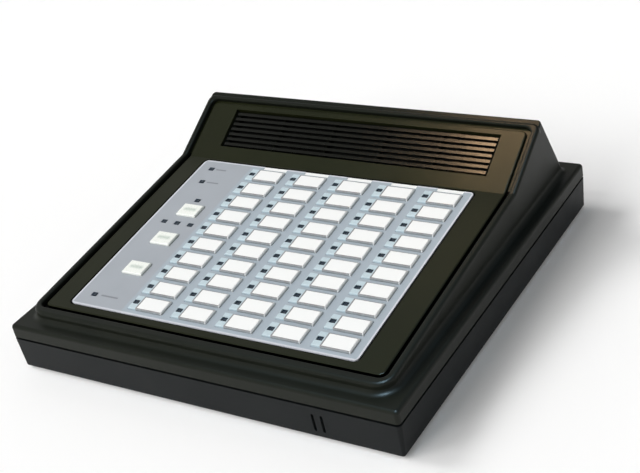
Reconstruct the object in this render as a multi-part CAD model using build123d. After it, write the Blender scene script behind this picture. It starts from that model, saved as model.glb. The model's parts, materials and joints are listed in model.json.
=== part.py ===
"""Desk intercom master station: fifty station keys with label windows and lamps on a sloping face,
three function keys, and a louvred speaker hood behind them, in a two-part moulded case.

Millimetres. The origin is on the desk under the middle of the case, +X to the user's right,
+Y to the rear and +Z up. The keypad and the hood each have a plane of their own: local x is
across the case, local y runs up the slope and local z points out of the face.
"""
from build123d import *
from math import cos, hypot, radians, sin, tan
import os

# ---- case ----
CASE_WIDTH = 230.0
CASE_FRONT = 13.1356        # panel's front edge to the case's front
CASE_REAR = 34.2375         # panel's top edge to the case's rear
CASE_CORNER_R = 2.2
WALL = 2.5
FLOOR = 2.5
FOOT_STANDOFF = 1.5
TRAY_HEIGHT = 18.0          # lower case, underside to its top edge
TRAY_DRAFT_DEG = 3.0        # its walls lean outwards
TRAY_EDGE_R = 0.8
PARTING_GAP = 1.3           # dark shadow line between the two halves
TONGUE_DROP = 2.2           # the upper case's tongue inside the lower case's wall
TONGUE_INSET = 1.35
TONGUE_CLEARANCE = 0.15
RIM_HEIGHT = 7.2
RIM_EDGE_R = 1.9

# ---- deck, the raised part of the upper case ----
DECK_INSET = 8.3            # case's side to the deck's foot
DECK_FRONT_R = 9.0          # plan radius of its two front corners
DECK_REAR_R = 2.5           # radius down its two sloping rear corners
DECK_DRAFT_DEG = 0.4
DECK_RISE = 0.7             # its top above the keypad's plane
DECK_EDGE_R = 0.9
COVE_R = 3.2                # concave foot
BEAD_RISE = 1.7             # rolled bead round the face panel, above the keypad's plane
BEAD_DEPTH = 4.2            # its outer side, crest to the crease under it
BEAD_OUTER_R = 1.9
BEAD_INNER_R = 1.0
BEAD_OVERHANG = 0.3         # bead proud of the deck's side
BEAD_REAR_R = 4.5           # plan radius of its two rear corners
BEAD_REAR_WIDTH = 3.1       # bead behind the panel
HOOD_BACK_WIDTH = 5.7       # hood's top edge behind the panel, along the slope

# ---- face: keypad slope and speaker hood ----
FACE_TILT_DEG = 5.5
FACE_HEIGHT = 39.7
FACE_FRONT = 72.9           # grid middle down the slope to the panel's front edge
FACE_REAR = 68.4            # grid middle up the slope to the kink
HOOD_TILT_DEG = 28.0
HOOD_LENGTH = 41.2          # kink to the panel's top edge
PANEL_WIDTH = 206.0
PANEL_THICK = 2.0           # keypad's plane to the panel's underside
PANEL_RISE = 0.8            # panel's top round the overlay, flush with it
PANEL_EDGE_R = 1.0
CHANNEL_WIDTH = 2.0         # dark channel between the panel's top and the bead
CHANNEL_DEPTH = 0.8         # below the keypad's plane
OVERLAY_GAP = 1.1           # channel round the overlay
PANEL_CORNER_R = 4.0
PANEL_CLEARANCE = 0.15
LEDGE_WIDTH = 3.0           # ledge of the upper case that carries the panel
LEDGE_THICK = 2.0

# ---- keys ----
ROWS = 10
COLUMNS = 5
ROW_PITCH = 12.7
COLUMN_PITCH = 27.4
GRID_X = 16.7               # middle column's label centre
KEY_RISE = 1.2              # key top above the overlay
KEY_TRAVEL = 1.0
KEY_LEFT = 13.2             # key edge left of the label centre
KEY_RIGHT = 8.1
KEY_HEIGHT = 9.8
KEY_CLEARANCE = 0.3
KEY_BEVEL = 0.4
KEY_FLANGE = 0.8            # flange beyond the key's body, all round
KEY_FLANGE_THICK = 1.0
LABEL_WIDTH = 15.2
LABEL_HEIGHT = 8.5
LABEL_THICK = 0.35
LABEL_CLEARANCE = 0.1
FUNCTION_X = -67.2
FUNCTION_WIDTH = 13.0
FUNCTION_HEIGHT = 9.8
FUNCTION_ROWS = (19.2, -6.6, -32.6)

# ---- lamps ----
LAMP_WIDTH = 3.0
LAMP_HEIGHT = 2.4
LAMP_LEFT = 10.7            # station lamp left of the label centre
LAMP_PROUD = 0.3            # status lamps above the overlay
LAMP_CLEARANCE = 0.3
STATUS_LAMPS = ((-78.6, 58.5), (-77.2, 46.0), (-68.8, 29.0), (-77.4, 7.8),
                (-68.5, 7.8), (-59.6, 7.8), (-77.8, -56.6))

# ---- overlay ----
OVERLAY_WIDTH = 172.4
OVERLAY_HEIGHT = 131.8
OVERLAY_X = -1.3
OVERLAY_Y = 0.4
OVERLAY_THICK = 0.8
OVERLAY_CORNER_R = 2.5
TAB_HEIGHT = 2.6            # end of each column's slide-in title tab
TAB_THICK = 0.6
TAB_CLEARANCE = 0.1

# ---- key board under the panel ----
MAT_THICK = 1.0
MAT_STRIP_MARGIN = 1.0      # mat beyond the keys' flanges
DOME_HEIGHT = 1.2
DOME_BASE = 6.0
DOME_TOP = 4.0
DOME_CLEARANCE = 0.3        # pressed key above its dome
BOARD_THICK = 1.6
BOARD_MARGIN = 3.0          # board inside the panel's opening in the case
BOSS_D = 6.0
BOSS_INSET = 5.0            # board screw from the board's edge
BOSS_CLEARANCE = 0.3        # at the lamps' windows
SCREW_D = 2.8
SCREW_HEAD_D = 5.4
SCREW_HEAD_H = 1.8
SCREW_CLEARANCE = 0.1
SCREW_BITE = 4.0            # thread in the boss
PILOT_ROOM = 0.2            # pilot hole beyond a screw's tip

# ---- speaker grille ----
GRILLE_X = 2.1
GRILLE_WIDTH = 170.6
GRILLE_HEIGHT = 26.2
GRILLE_CENTRE = 22.4        # up the hood from the kink
GRILLE_CLEARANCE = 0.2
GRILLE_RECESS = 0.9         # louvres below the hood's surface
GRILLE_END_GAP = 1.4        # louvres' ends to the opening's ends
GRILLE_WALL = 1.2
GRILLE_FLANGE = 2.8
GRILLE_FLANGE_THICK = 1.5
GRILLE_DEPTH = 5.0          # hood's plane to the grille's back
LOUVRES = 7
LOUVRE_WIDTH = 1.8
LOUVRE_DEPTH = 3.2
LOUVRE_LEAN = 1.2           # a louvre's back edge is this far up the slope from its front edge
RIBS = 4
RIB_WIDTH = 1.2
CLOTH_THICK = 0.4

# ---- speaker ----
SPEAKER_X = 2.1
SPEAKER_WIDTH = 80.0
SPEAKER_HEIGHT = 29.6
SPEAKER_CORNER_R = 5.0
GASKET_THICK = 1.6
GASKET_MARGIN = 1.0         # gasket's opening beyond the cone, all round
FLANGE_THICK = 1.2
CONE_WIDTH = 64.0
CONE_HEIGHT = 21.0
BASKET_DEPTH = 12.0
BASKET_WALL = 1.0
BASKET_BACK_D = 20.0
BASKET_BACK_WIDTH = 26.0
BASKET_WINDOW = 32.0        # opening in its long sides
BASKET_WINDOW_EDGE = 3.0    # and to its front and back edges
BASKET_STRUT = 5.4          # strut in the middle of that opening
BASKET_MOUTH_D = 15.0       # round opening for the coil
MAGNET_D = 30.0
MAGNET_THICK = 9.0
MAGNET_CHAMFER = 0.9
POST_D = 4.4
POST_INSET = 3.2
CONE_THICK = 0.5
CONE_DEPTH = 9.0
CONE_GAP = 1.4              # basket's rim to the cone's
COIL_D = 13.0
COIL_OVAL = 0.4             # cone's throat wider than high

# ---- base of the case ----
CASE_BOSS_D = 8.0
CASE_BOSS_INSET = 6.6
CASE_SCREW_D = 3.4
CASE_HEAD_D = 6.2
CASE_HEAD_GAP = 0.3         # head in its well
DRIVE_SLOT_WIDTH = 0.6
DRIVE_SLOT_DEPTH = 0.9
WELL_WALL = 1.3
WELL_CEILING = 3.0
FOOT_D = 13.0
FOOT_INSET = 22.0
FOOT_POCKET = 0.9
FOOT_CLEARANCE = 0.2
FOOT_CHAMFER = 0.5
SLOT_X = 71.0               # the microphone's two sound slots
SLOT_SPACING = 4.8
SLOT_WIDTH = 1.5
SLOT_LOW = 3.4
SLOT_HIGH = 13.8
STIFFENER_THICK = 1.5
STIFFENER_HEIGHT = 2.5
STIFFENER_GAPS = (12.0, 52.0)       # in front of the logic board

# ---- logic board in the base ----
LOGIC_WIDTH = 150.0
LOGIC_DEPTH = 86.0
LOGIC_REAR_GAP = 1.0        # board to the rear wall's inner face
LOGIC_STANDOFF = 1.8
LOGIC_BOSS_INSET = 6.0
LOGIC_BOSS_FLOOR = 1.0      # under the pilot hole
LOGIC_BITE = 3.0
JACK_X = 52.0
JACK_WIDTH = 14.0
JACK_HEIGHT = 9.8
JACK_DEPTH = 18.0
JACK_WALL = 1.3
JACK_CLEARANCE = 0.2
JACK_NOTCH_WIDTH = 4.7      # latch notch in its mouth
JACK_NOTCH_DEPTH = 6.0
TRANSFORMER_X = -40.0       # places on the board are from its middle
TRANSFORMER_Y = 14.0
TRANSFORMER_WIDTH = 26.0
TRANSFORMER_DEPTH = 22.0
TRANSFORMER_HEIGHT = 17.0
CORE_DEPTH = 12.1
CORE_CHAMFER = 0.6
BOBBIN_WIDTH = 16.1
BOBBIN_HEIGHT = 12.2
BOBBIN_LIFT = 2.4
TRANSFORMER_BASE = 2.0
CHIP_LENGTH = 34.0
CHIP_WIDTH = 13.5           # over its legs
CHIP_HEIGHT = 4.0
CHIP_LIFT = 0.8
CHIP_LEG = 1.5              # legs beyond the body's sides
CHIP_LEG_HEIGHT = 1.4
CHIP_CHAMFER = 0.4
CHIP_PLACES = ((10.0, -4.0, 0), (10.0, 18.0, 0), (52.0, -14.0, 90))
CAPACITOR_D = 10.0
CAPACITOR_HEIGHT = 16.0
CAPACITOR_EDGE_R = 0.8
CAPACITOR_PLACES = ((-66.0, -12.0), (-54.0, -12.0))

# ---- microphone ----
MIC_D = 9.7
MIC_LENGTH = 6.5
BOOT_D = 13.6
BOOT_LENGTH = 8.5
BOOT_GAP = 1.0              # boot to the front wall
MIC_CHAMFER = 0.4
MIC_CLEARANCE = 0.05
CRADLE_THICK = 1.6

# ---- ribbon cable between the boards ----
RIBBON_WIDTH = 26.0
RIBBON_THICK = 0.9
RIBBON_BEND_R = 4.0
RIBBON_END = 5.0            # straight end at each header
RIBBON_RUN = 21.4           # logic board's header behind the key board's
HEADER_WIDTH = 30.0
HEADER_DEPTH = 5.0
HEADER_HEIGHT = 6.0
HEADER_INSET = 12.0         # logic board's header from its front edge

# ---- heights and planes that follow from the sizes above ----
CASE_BOTTOM = FOOT_STANDOFF
TRAY_TOP = CASE_BOTTOM + TRAY_HEIGHT
TONGUE_BOTTOM = TRAY_TOP - TONGUE_DROP
RIM_BOTTOM = TRAY_TOP + PARTING_GAP
RIM_TOP = RIM_BOTTOM + RIM_HEIGHT
FLOOR_TOP = CASE_BOTTOM + FLOOR
TILT = radians(FACE_TILT_DEG)
LIFT = radians(HOOD_TILT_DEG)
GRID_TO_FRONT = FACE_FRONT * cos(TILT) + CASE_FRONT
GRID_TO_REAR = FACE_REAR * cos(TILT) + HOOD_LENGTH * cos(LIFT) + CASE_REAR
CASE_DEPTH = GRID_TO_FRONT + GRID_TO_REAR
FRONT = -CASE_DEPTH / 2
REAR = CASE_DEPTH / 2
FACE_Y = FRONT + GRID_TO_FRONT          # middle of the key grid
KEY_WIDTH = KEY_LEFT + KEY_RIGHT
KEY_MIDDLE = (KEY_RIGHT - KEY_LEFT) / 2
KEY_FLANGE_TOP = -PANEL_THICK - KEY_CLEARANCE
KEY_FLANGE_BOTTOM = KEY_FLANGE_TOP - KEY_FLANGE_THICK
DOME_CROWN = KEY_FLANGE_BOTTOM - KEY_TRAVEL - DOME_CLEARANCE
BOARD_TOP = DOME_CROWN - DOME_HEIGHT - MAT_THICK
BOARD_BOTTOM = BOARD_TOP - BOARD_THICK
OVERLAY_TOP = OVERLAY_THICK
KEY_TOP = OVERLAY_TOP + KEY_RISE
OPENING_WIDTH = PANEL_WIDTH - 2 * LEDGE_WIDTH
OPENING_FRONT = FACE_FRONT - LEDGE_WIDTH
BOARD_WIDTH = OPENING_WIDTH - 2 * BOARD_MARGIN
BOARD_FRONT = OPENING_FRONT - BOARD_MARGIN
BOARD_REAR = FACE_REAR - BOARD_MARGIN
SPEAKER_BACK = -GRILLE_DEPTH - CLOTH_THICK - GASKET_THICK - FLANGE_THICK
BIG = 400.0                 # past every face of the case
CUT = 1.0                   # a cutting form runs this far past what it cuts
NEAR = 0.02                 # edges are picked by place within this distance


def face_point(along, out=0.0):
    """(y, z) of a place on the keypad's slope."""
    return (FACE_Y + along * cos(TILT) - out * sin(TILT), FACE_HEIGHT + along * sin(TILT) + out * cos(TILT))


KINK_Y, KINK_Z = face_point(FACE_REAR)


def hood_point(along, out=0.0):
    """(y, z) of a place on the hood's slope."""
    return (KINK_Y + along * cos(LIFT) - out * sin(LIFT), KINK_Z + along * sin(LIFT) + out * cos(LIFT))


def kink_point(out):
    """(y, z) where the keypad's and the hood's planes meet, both moved out by the same distance."""
    reach = out / (1 + cos(LIFT - TILT))
    return (KINK_Y - reach * (sin(TILT) + sin(LIFT)), KINK_Z + reach * (cos(TILT) + cos(LIFT)))


FACE = Plane(origin=(0, FACE_Y, FACE_HEIGHT), x_dir=(1, 0, 0), z_dir=(0, -sin(TILT), cos(TILT)))
HOOD = Plane(origin=(0, KINK_Y, KINK_Z), x_dir=(1, 0, 0), z_dir=(0, -sin(LIFT), cos(LIFT)))


def raised(plane, sketch, low, high):
    """A solid over a sketch, between two heights above its plane."""
    return extrude(plane.offset(low) * sketch, high - low)


def side_form(points, width):
    """A solid with a side outline of (y, z) points, across the case."""
    return extrude(Plane.YZ.offset(-width / 2) * make_face(Polyline(*points, close=True)), width)


def column_x(column):
    return GRID_X + (column - (COLUMNS - 1) / 2) * COLUMN_PITCH


def stations():
    """Label centre of each key on the keypad's plane, by column and row."""
    for column in range(COLUMNS):
        for row in range(ROWS):
            yield column, Pos(column_x(column), ((ROWS - 1) / 2 - row) * ROW_PITCH)


def board_screw_places():
    """Screws of the key board, round its edge and clear of the status lamps."""
    lamps = max(abs(x) for x, _ in STATUS_LAMPS) + LAMP_WIDTH / 2 + LAMP_CLEARANCE
    side = max(BOARD_WIDTH / 2 - BOSS_INSET, lamps + BOSS_CLEARANCE + BOSS_D / 2)
    front, rear = -BOARD_FRONT + BOSS_INSET, BOARD_REAR - BOSS_INSET
    return [Pos(x, y) for x in (-side, side) for y in (front, (front + rear) / 2, rear)]


def speaker_screw_places():
    return [Pos(SPEAKER_X + x, GRILLE_CENTRE + y)
            for x in (-SPEAKER_WIDTH / 2 + POST_INSET, SPEAKER_WIDTH / 2 - POST_INSET)
            for y in (-SPEAKER_HEIGHT / 2 + POST_INSET, SPEAKER_HEIGHT / 2 - POST_INSET)]


def case_screw_places():
    x, y = CASE_WIDTH / 2 - CASE_BOSS_INSET, CASE_DEPTH / 2 - CASE_BOSS_INSET
    return [Pos(sx * x, sy * y) for sx in (-1, 1) for sy in (-1, 1)]


def foot_places():
    x, y = CASE_WIDTH / 2 - FOOT_INSET, CASE_DEPTH / 2 - FOOT_INSET
    return [Pos(sx * x, sy * y) for sx in (-1, 1) for sy in (-1, 1)]


# ---- the case ----

def deck_form(side_inset, top, rear_inset):
    """The raised deck: keypad slope, hood and sloping back, with its top a given height above the
    face and its sides a given distance in from the case's."""
    front_y = FRONT + side_inset
    crest_front = face_point((front_y - BIG / 4 - FACE_Y) / cos(TILT), top)
    crest_top = hood_point(HOOD_LENGTH + HOOD_BACK_WIDTH, DECK_RISE)
    foot_y = REAR - DECK_INSET
    lean = (foot_y - crest_top[0]) / (crest_top[1] - RIM_TOP)
    shift = rear_inset * hypot(1, lean)
    ridge_out = hood_point(0, top)
    # the back slope meets the hood's top plane
    reach = foot_y - shift - ridge_out[0] - lean * (ridge_out[1] - RIM_TOP)
    run = reach / (cos(LIFT) + lean * sin(LIFT))
    ridge = (ridge_out[0] + run * cos(LIFT), ridge_out[1] + run * sin(LIFT))
    low = RIM_BOTTOM - CUT
    foot = (foot_y - shift + lean * (RIM_TOP - low), low)
    side = side_form([(crest_front[0], low), crest_front, kink_point(top), ridge, foot], BIG)
    depth = BIG / 2 - front_y
    plan = Rectangle(CASE_WIDTH - 2 * side_inset, depth)
    corner_r = DECK_FRONT_R - (side_inset - DECK_INSET)
    plan = fillet(plan.vertices().sort_by(Axis.Y)[:2], corner_r)
    drafted = extrude(Plane.XY.offset(RIM_TOP) * Pos(0, front_y + depth / 2) * plan, BIG / 4,
                      taper=DECK_DRAFT_DEG)
    straight = extrude(Plane.XY.offset(low) * Pos(0, front_y + depth / 2) * plan, RIM_TOP - low)
    return side & (drafted + straight)


def bent_strip(width, front, rear, low, high, front_r, rear_r):
    """A strip of the face, bent at the kink, between two heights above it."""
    points = [face_point(-front, low), kink_point(low), hood_point(rear, low),
              hood_point(rear, high), kink_point(high), face_point(-front, high)]
    form = side_form(points, width)
    middle = (low + high) / 2
    form = fillet(corners(form, width, face_point(-front, middle)), front_r)
    return fillet(corners(form, width, hood_point(rear, middle)), rear_r)


def corners(form, width, place):
    """Edges of a form at its two sides, with their middles at a (y, z) place."""
    middle = Vector(width / 2, *place)
    return [e for e in form.edges()
            if (middle - Vector(abs(e.center().X), e.center().Y, e.center().Z)).length < NEAR]


def make_upper_case():
    rim_plan = RectangleRounded(CASE_WIDTH, CASE_DEPTH, CASE_CORNER_R)
    rim = extrude(Plane.XY.offset(RIM_BOTTOM) * rim_plan, RIM_HEIGHT)
    rim = fillet(rim.edges().group_by(Axis.Z)[-1], RIM_EDGE_R)

    deck = deck_form(DECK_INSET, DECK_RISE, 0)
    rear = [e for e in deck.edges() if e.center().Y > KINK_Y + HOOD_LENGTH and e.length > HOOD_LENGTH / 2]
    deck = fillet([e for e in rear if abs(e.center().X) > PANEL_WIDTH / 4], DECK_REAR_R)
    deck = fillet(at_height(deck, DECK_RISE), DECK_EDGE_R)
    outer = rim + deck
    cove = [e for e in outer.edges() if inside_ledge(e)]
    outer = fillet(cove, COVE_R)

    inner_plan = Rectangle(CASE_WIDTH - 2 * WALL, CASE_DEPTH - 2 * WALL)
    hollow = extrude(Plane.XY.offset(RIM_BOTTOM - CUT) * inner_plan, RIM_HEIGHT - WALL + CUT)
    hollow += deck_form(DECK_INSET + WALL, -PANEL_THICK - LEDGE_THICK, WALL)
    case = outer - hollow
    case -= panel_recess(-PANEL_THICK)
    case -= bent_strip(OPENING_WIDTH, OPENING_FRONT, HOOD_LENGTH - LEDGE_WIDTH,
                       -PANEL_THICK - 4 * LEDGE_THICK, 0, PANEL_CORNER_R / 2, PANEL_CORNER_R / 2)
    case += make_bead()
    tongue = tongue_plan() - inner_plan
    case += extrude(Plane.XY.offset(TONGUE_BOTTOM) * tongue, RIM_BOTTOM - TONGUE_BOTTOM)
    for place in case_screw_places():
        post = Plane.XY.offset(TONGUE_BOTTOM) * place * Circle(CASE_BOSS_D / 2)
        case += extrude(post, RIM_TOP - WALL / 2 - TONGUE_BOTTOM) & extrude(tongue_plan(), RIM_TOP)
    for place in case_screw_places():
        hole = Plane.XY.offset(TONGUE_BOTTOM) * place * Circle(CASE_SCREW_D / 2)
        case -= extrude(hole, SCREW_BITE + PILOT_ROOM)
    return case


def tongue_plan():
    """Outline of the upper case's tongue, which stands inside the lower case's wall."""
    inset = TONGUE_INSET + TONGUE_CLEARANCE
    return RectangleRounded(CASE_WIDTH - 2 * inset, CASE_DEPTH - 2 * inset, CASE_CORNER_R - inset)


def panel_recess(low):
    """The face panel's place in the case, from a height above its plane upwards."""
    corner_r = PANEL_CORNER_R + PANEL_CLEARANCE
    return bent_strip(PANEL_WIDTH + 2 * PANEL_CLEARANCE, FACE_FRONT + PANEL_CLEARANCE,
                      HOOD_LENGTH + PANEL_CLEARANCE, low, HOOD_LENGTH / 2, corner_r, corner_r)


def make_bead():
    """Rolled bead round the face panel, a little proud of the deck's sides."""
    half_width = CASE_WIDTH / 2 - DECK_INSET + BEAD_OVERHANG
    front = (FACE_Y - FRONT - DECK_INSET + BEAD_OVERHANG) / cos(TILT)
    slab = bent_strip(2 * half_width, front, HOOD_LENGTH + BEAD_REAR_WIDTH, BEAD_RISE - BEAD_DEPTH, BEAD_RISE,
                      DECK_FRONT_R + BEAD_OVERHANG, BEAD_REAR_R)
    slab = fillet(at_height(slab, BEAD_RISE), BEAD_OUTER_R)
    ring = slab - panel_recess(BEAD_RISE - 2 * BEAD_DEPTH)
    inner = [e for e in at_height(ring, BEAD_RISE)
             if all(abs(v.X) < PANEL_WIDTH / 2 + 2 * PANEL_CLEARANCE for v in e.vertices())
             and all(v.Y < hood_point(HOOD_LENGTH + BEAD_INNER_R, 0)[0] for v in e.vertices())]
    return fillet(inner, BEAD_INNER_R)


def at_height(form, out):
    """Edges of a form that lie on the face's two planes moved out by a distance."""
    kink_y, kink_z = kink_point(out)
    return [e for e in form.edges()
            if all(abs(v.Z - kink_z - (v.Y - kink_y) * tan(TILT if v.Y < kink_y else LIFT)) < NEAR
                   for v in e.vertices())]


def inside_ledge(edge):
    """Whether an edge lies on the rim's ledge, away from the rim's own rounded edge."""
    ends_level = all(abs(v.Z - RIM_TOP) < NEAR for v in edge.vertices())
    middle = edge.center()
    inset = min(CASE_WIDTH / 2 - abs(middle.X), CASE_DEPTH / 2 - abs(middle.Y))
    return ends_level and abs(middle.Z - RIM_TOP) < NEAR and inset > RIM_EDGE_R + NEAR


def make_lower_case():
    from_top = Plane(origin=(0, 0, TRAY_TOP), x_dir=(1, 0, 0), z_dir=(0, 0, -1))
    tray = extrude(from_top * RectangleRounded(CASE_WIDTH, CASE_DEPTH, CASE_CORNER_R), TRAY_HEIGHT,
                   taper=TRAY_DRAFT_DEG)
    tray = fillet(tray.edges().group_by(Axis.Z)[0], TRAY_EDGE_R)
    tray -= extrude(from_top * Rectangle(CASE_WIDTH - 2 * WALL, CASE_DEPTH - 2 * WALL), TRAY_HEIGHT - FLOOR,
                    taper=TRAY_DRAFT_DEG)
    tray -= extrude(from_top * RectangleRounded(CASE_WIDTH - 2 * TONGUE_INSET, CASE_DEPTH - 2 * TONGUE_INSET,
                                                CASE_CORNER_R - TONGUE_INSET), TONGUE_DROP)
    well_top = TONGUE_BOTTOM
    room = extrude(Plane.XY.offset(CASE_BOTTOM + FLOOR / 2)
                   * RectangleRounded(CASE_WIDTH - 4 * TONGUE_INSET, CASE_DEPTH - 4 * TONGUE_INSET,
                                      CASE_CORNER_R), well_top - CASE_BOTTOM - FLOOR / 2)
    for place in case_screw_places():
        well = Plane.XY.offset(CASE_BOTTOM) * place
        tray += extrude(well * Circle(CASE_HEAD_D / 2 + WELL_WALL), well_top - CASE_BOTTOM) & room
        tray -= extrude(well * Circle(CASE_HEAD_D / 2), well_top - WELL_CEILING - CASE_BOTTOM)
        tray -= extrude(well * Circle(CASE_SCREW_D / 2 + SCREW_CLEARANCE), well_top - CASE_BOTTOM)
    for place in foot_places():
        tray -= extrude(Plane.XY.offset(CASE_BOTTOM) * place * Circle(FOOT_D / 2), FOOT_POCKET)
    for place in logic_screw_places():
        boss = Plane.XY.offset(CASE_BOTTOM) * place
        tray += extrude(boss * Circle(BOSS_D / 2), FLOOR + LOGIC_STANDOFF)
        tray -= extrude(Plane.XY.offset(CASE_BOTTOM + LOGIC_BOSS_FLOOR) * place
                        * Circle(SCREW_D / 2 + SCREW_CLEARANCE), FLOOR + LOGIC_STANDOFF)
    for x in (-SLOT_SPACING / 2, SLOT_SPACING / 2):
        slot = SlotCenterToCenter(SLOT_HIGH - SLOT_LOW - SLOT_WIDTH, SLOT_WIDTH, rotation=90)
        height = CASE_BOTTOM + (SLOT_LOW + SLOT_HIGH) / 2
        tray -= extrude(Plane.XZ.offset(-FRONT + CUT) * Pos(SLOT_X + x, height) * slot, -2 * WALL - CUT)
    jack = Rectangle(JACK_WIDTH + 2 * JACK_CLEARANCE, JACK_HEIGHT + 2 * JACK_CLEARANCE)
    tray -= extrude(Plane.XZ.offset(-REAR - CUT) * Pos(JACK_X, JACK_BOTTOM + JACK_HEIGHT / 2) * jack,
                    2 * WALL + CUT)
    # stiffeners across the floor, in front of the logic board
    for y in STIFFENERS_Y:
        rib = Plane.XY.offset(CASE_BOTTOM) * Pos(0, y) * Rectangle(CASE_WIDTH - 2 * WALL, STIFFENER_THICK)
        tray += extrude(rib, FLOOR + STIFFENER_HEIGHT) & room
    # cradle that holds the microphone's boot behind the slots
    for y in (BOOT_FRONT + CRADLE_THICK, BOOT_FRONT + BOOT_LENGTH - 2 * CRADLE_THICK):
        web = Rectangle(BOOT_D + 2 * WALL, BOOT_D / 2)
        tray += extrude(Plane.XZ.offset(-y) * Pos(SLOT_X, FLOOR_TOP + BOOT_D / 4) * web, -CRADLE_THICK)
    tray -= extrude(Plane.XZ.offset(-FRONT - WALL) * Pos(SLOT_X, BOOT_Z)
                    * Circle(BOOT_D / 2 + MIC_CLEARANCE), -BOOT_LENGTH - BOOT_GAP)
    return tray


def make_case_screws():
    screws = []
    for place in case_screw_places():
        head_z = TONGUE_BOTTOM - WELL_CEILING - SCREW_HEAD_H
        seat = Plane.XY.offset(head_z) * place
        head = extrude(seat * Circle(CASE_HEAD_D / 2 - CASE_HEAD_GAP), SCREW_HEAD_H)
        shank = extrude(seat * Circle(CASE_SCREW_D / 2 - SCREW_CLEARANCE),
                        SCREW_HEAD_H + WELL_CEILING + SCREW_BITE)
        drive = extrude(seat * Rectangle(CASE_SCREW_D, DRIVE_SLOT_WIDTH), DRIVE_SLOT_DEPTH)
        screws.append(head + shank - drive)
    return screws


def make_feet():
    feet = []
    for place in foot_places():
        foot = extrude(Plane.XY * place * Circle(FOOT_D / 2 - FOOT_CLEARANCE), FOOT_STANDOFF + FOOT_POCKET)
        feet.append(chamfer(foot.edges().group_by(Axis.Z)[0], FOOT_CHAMFER))
    return feet


# ---- face panel, overlay and keys ----

def make_face_panel():
    panel = bent_strip(PANEL_WIDTH, FACE_FRONT, HOOD_LENGTH, -PANEL_THICK, -CHANNEL_DEPTH,
                       PANEL_CORNER_R, PANEL_CORNER_R)
    corner_r = PANEL_CORNER_R - CHANNEL_WIDTH / 2
    top = bent_strip(PANEL_WIDTH - 2 * CHANNEL_WIDTH, FACE_FRONT - CHANNEL_WIDTH, HOOD_LENGTH - CHANNEL_WIDTH,
                     -PANEL_THICK, PANEL_RISE, corner_r, corner_r)
    panel += fillet(at_height(top, PANEL_RISE), PANEL_EDGE_R)
    pocket = RectangleRounded(OVERLAY_WIDTH + 2 * OVERLAY_GAP, OVERLAY_HEIGHT + 2 * OVERLAY_GAP,
                              OVERLAY_CORNER_R + OVERLAY_GAP)
    panel -= raised(FACE, Pos(OVERLAY_X, OVERLAY_Y) * pocket, 0, 2 * PANEL_RISE)
    windows = Sketch() + [place * Pos(KEY_MIDDLE, 0) * key_window() for _, place in stations()]
    windows += [place * function_window() for place in function_places()]
    windows += [place * lamp_window() for place in status_places()]
    panel -= raised(FACE, windows, -2 * PANEL_THICK, PANEL_THICK)
    grille = Pos(GRILLE_X, GRILLE_CENTRE) * Rectangle(GRILLE_WIDTH, GRILLE_HEIGHT)
    panel -= raised(HOOD, grille, -2 * PANEL_THICK, PANEL_THICK)
    bosses = Sketch() + [place * Circle(BOSS_D / 2) for place in board_screw_places()]
    panel += raised(FACE, bosses, BOARD_TOP, -PANEL_THICK / 2)
    holes = Sketch() + [place * Circle(SCREW_D / 2 + SCREW_CLEARANCE) for place in board_screw_places()]
    panel -= raised(FACE, holes, BOARD_TOP, BOARD_TOP + SCREW_BITE + PILOT_ROOM)
    return panel


def key_window():
    return Rectangle(KEY_WIDTH + 2 * KEY_CLEARANCE, KEY_HEIGHT + 2 * KEY_CLEARANCE)


def function_window():
    return Rectangle(FUNCTION_WIDTH + 2 * KEY_CLEARANCE, FUNCTION_HEIGHT + 2 * KEY_CLEARANCE)


def lamp_window():
    return Rectangle(LAMP_WIDTH + 2 * LAMP_CLEARANCE, LAMP_HEIGHT + 2 * LAMP_CLEARANCE)


def function_places():
    return [Pos(FUNCTION_X, y) for y in FUNCTION_ROWS]


def status_places():
    return [Pos(x, y) for x, y in STATUS_LAMPS]


def make_overlay():
    sheet = Pos(OVERLAY_X, OVERLAY_Y) * RectangleRounded(OVERLAY_WIDTH, OVERLAY_HEIGHT, OVERLAY_CORNER_R)
    sheet -= [place * Pos(KEY_MIDDLE, 0) * key_window() for _, place in stations()]
    sheet -= [place * function_window() for place in function_places()]
    sheet -= [place * lamp_window() for place in status_places()]
    sheet -= [place * tab_shape(TAB_CLEARANCE) for place in tab_places()]
    return raised(FACE, sheet, 0, OVERLAY_THICK)


def tab_places():
    """Title tab at the rear end of each column, at the overlay's edge."""
    return [Pos(column_x(c), OVERLAY_Y + OVERLAY_HEIGHT / 2) for c in range(COLUMNS)]


def tab_shape(margin):
    return Pos(0, -TAB_HEIGHT / 2) * Rectangle(LABEL_WIDTH + 2 * margin, TAB_HEIGHT + 2 * margin)


def make_tabs():
    return [raised(FACE, place * tab_shape(0), 0, TAB_THICK) for place in tab_places()]


def make_key(place, width, height, label_x, has_lamp, has_label):
    """A rigid key: bevelled cap over a flange that stops it under the panel."""
    cap = raised(FACE, place * Rectangle(width, height), KEY_FLANGE_BOTTOM, KEY_TOP)
    top = [e for e in cap.edges() if abs(FACE.to_local_coords(e.center()).Z - KEY_TOP) < NEAR]
    cap = chamfer(top, KEY_BEVEL)
    cap += raised(FACE, place * Rectangle(width + 2 * KEY_FLANGE, height + 2 * KEY_FLANGE),
                  KEY_FLANGE_BOTTOM, KEY_FLANGE_TOP)
    if has_lamp:
        hole = place * Pos(label_x - LAMP_LEFT, 0) * lamp_window()
        cap -= raised(FACE, hole, KEY_FLANGE_BOTTOM - CUT, KEY_TOP + CUT)
    if has_label:
        pocket = place * Pos(label_x, 0) * Rectangle(LABEL_WIDTH + 2 * LABEL_CLEARANCE,
                                                     LABEL_HEIGHT + 2 * LABEL_CLEARANCE)
        cap -= raised(FACE, pocket, KEY_TOP - LABEL_THICK, KEY_TOP + CUT)
    return cap


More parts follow.
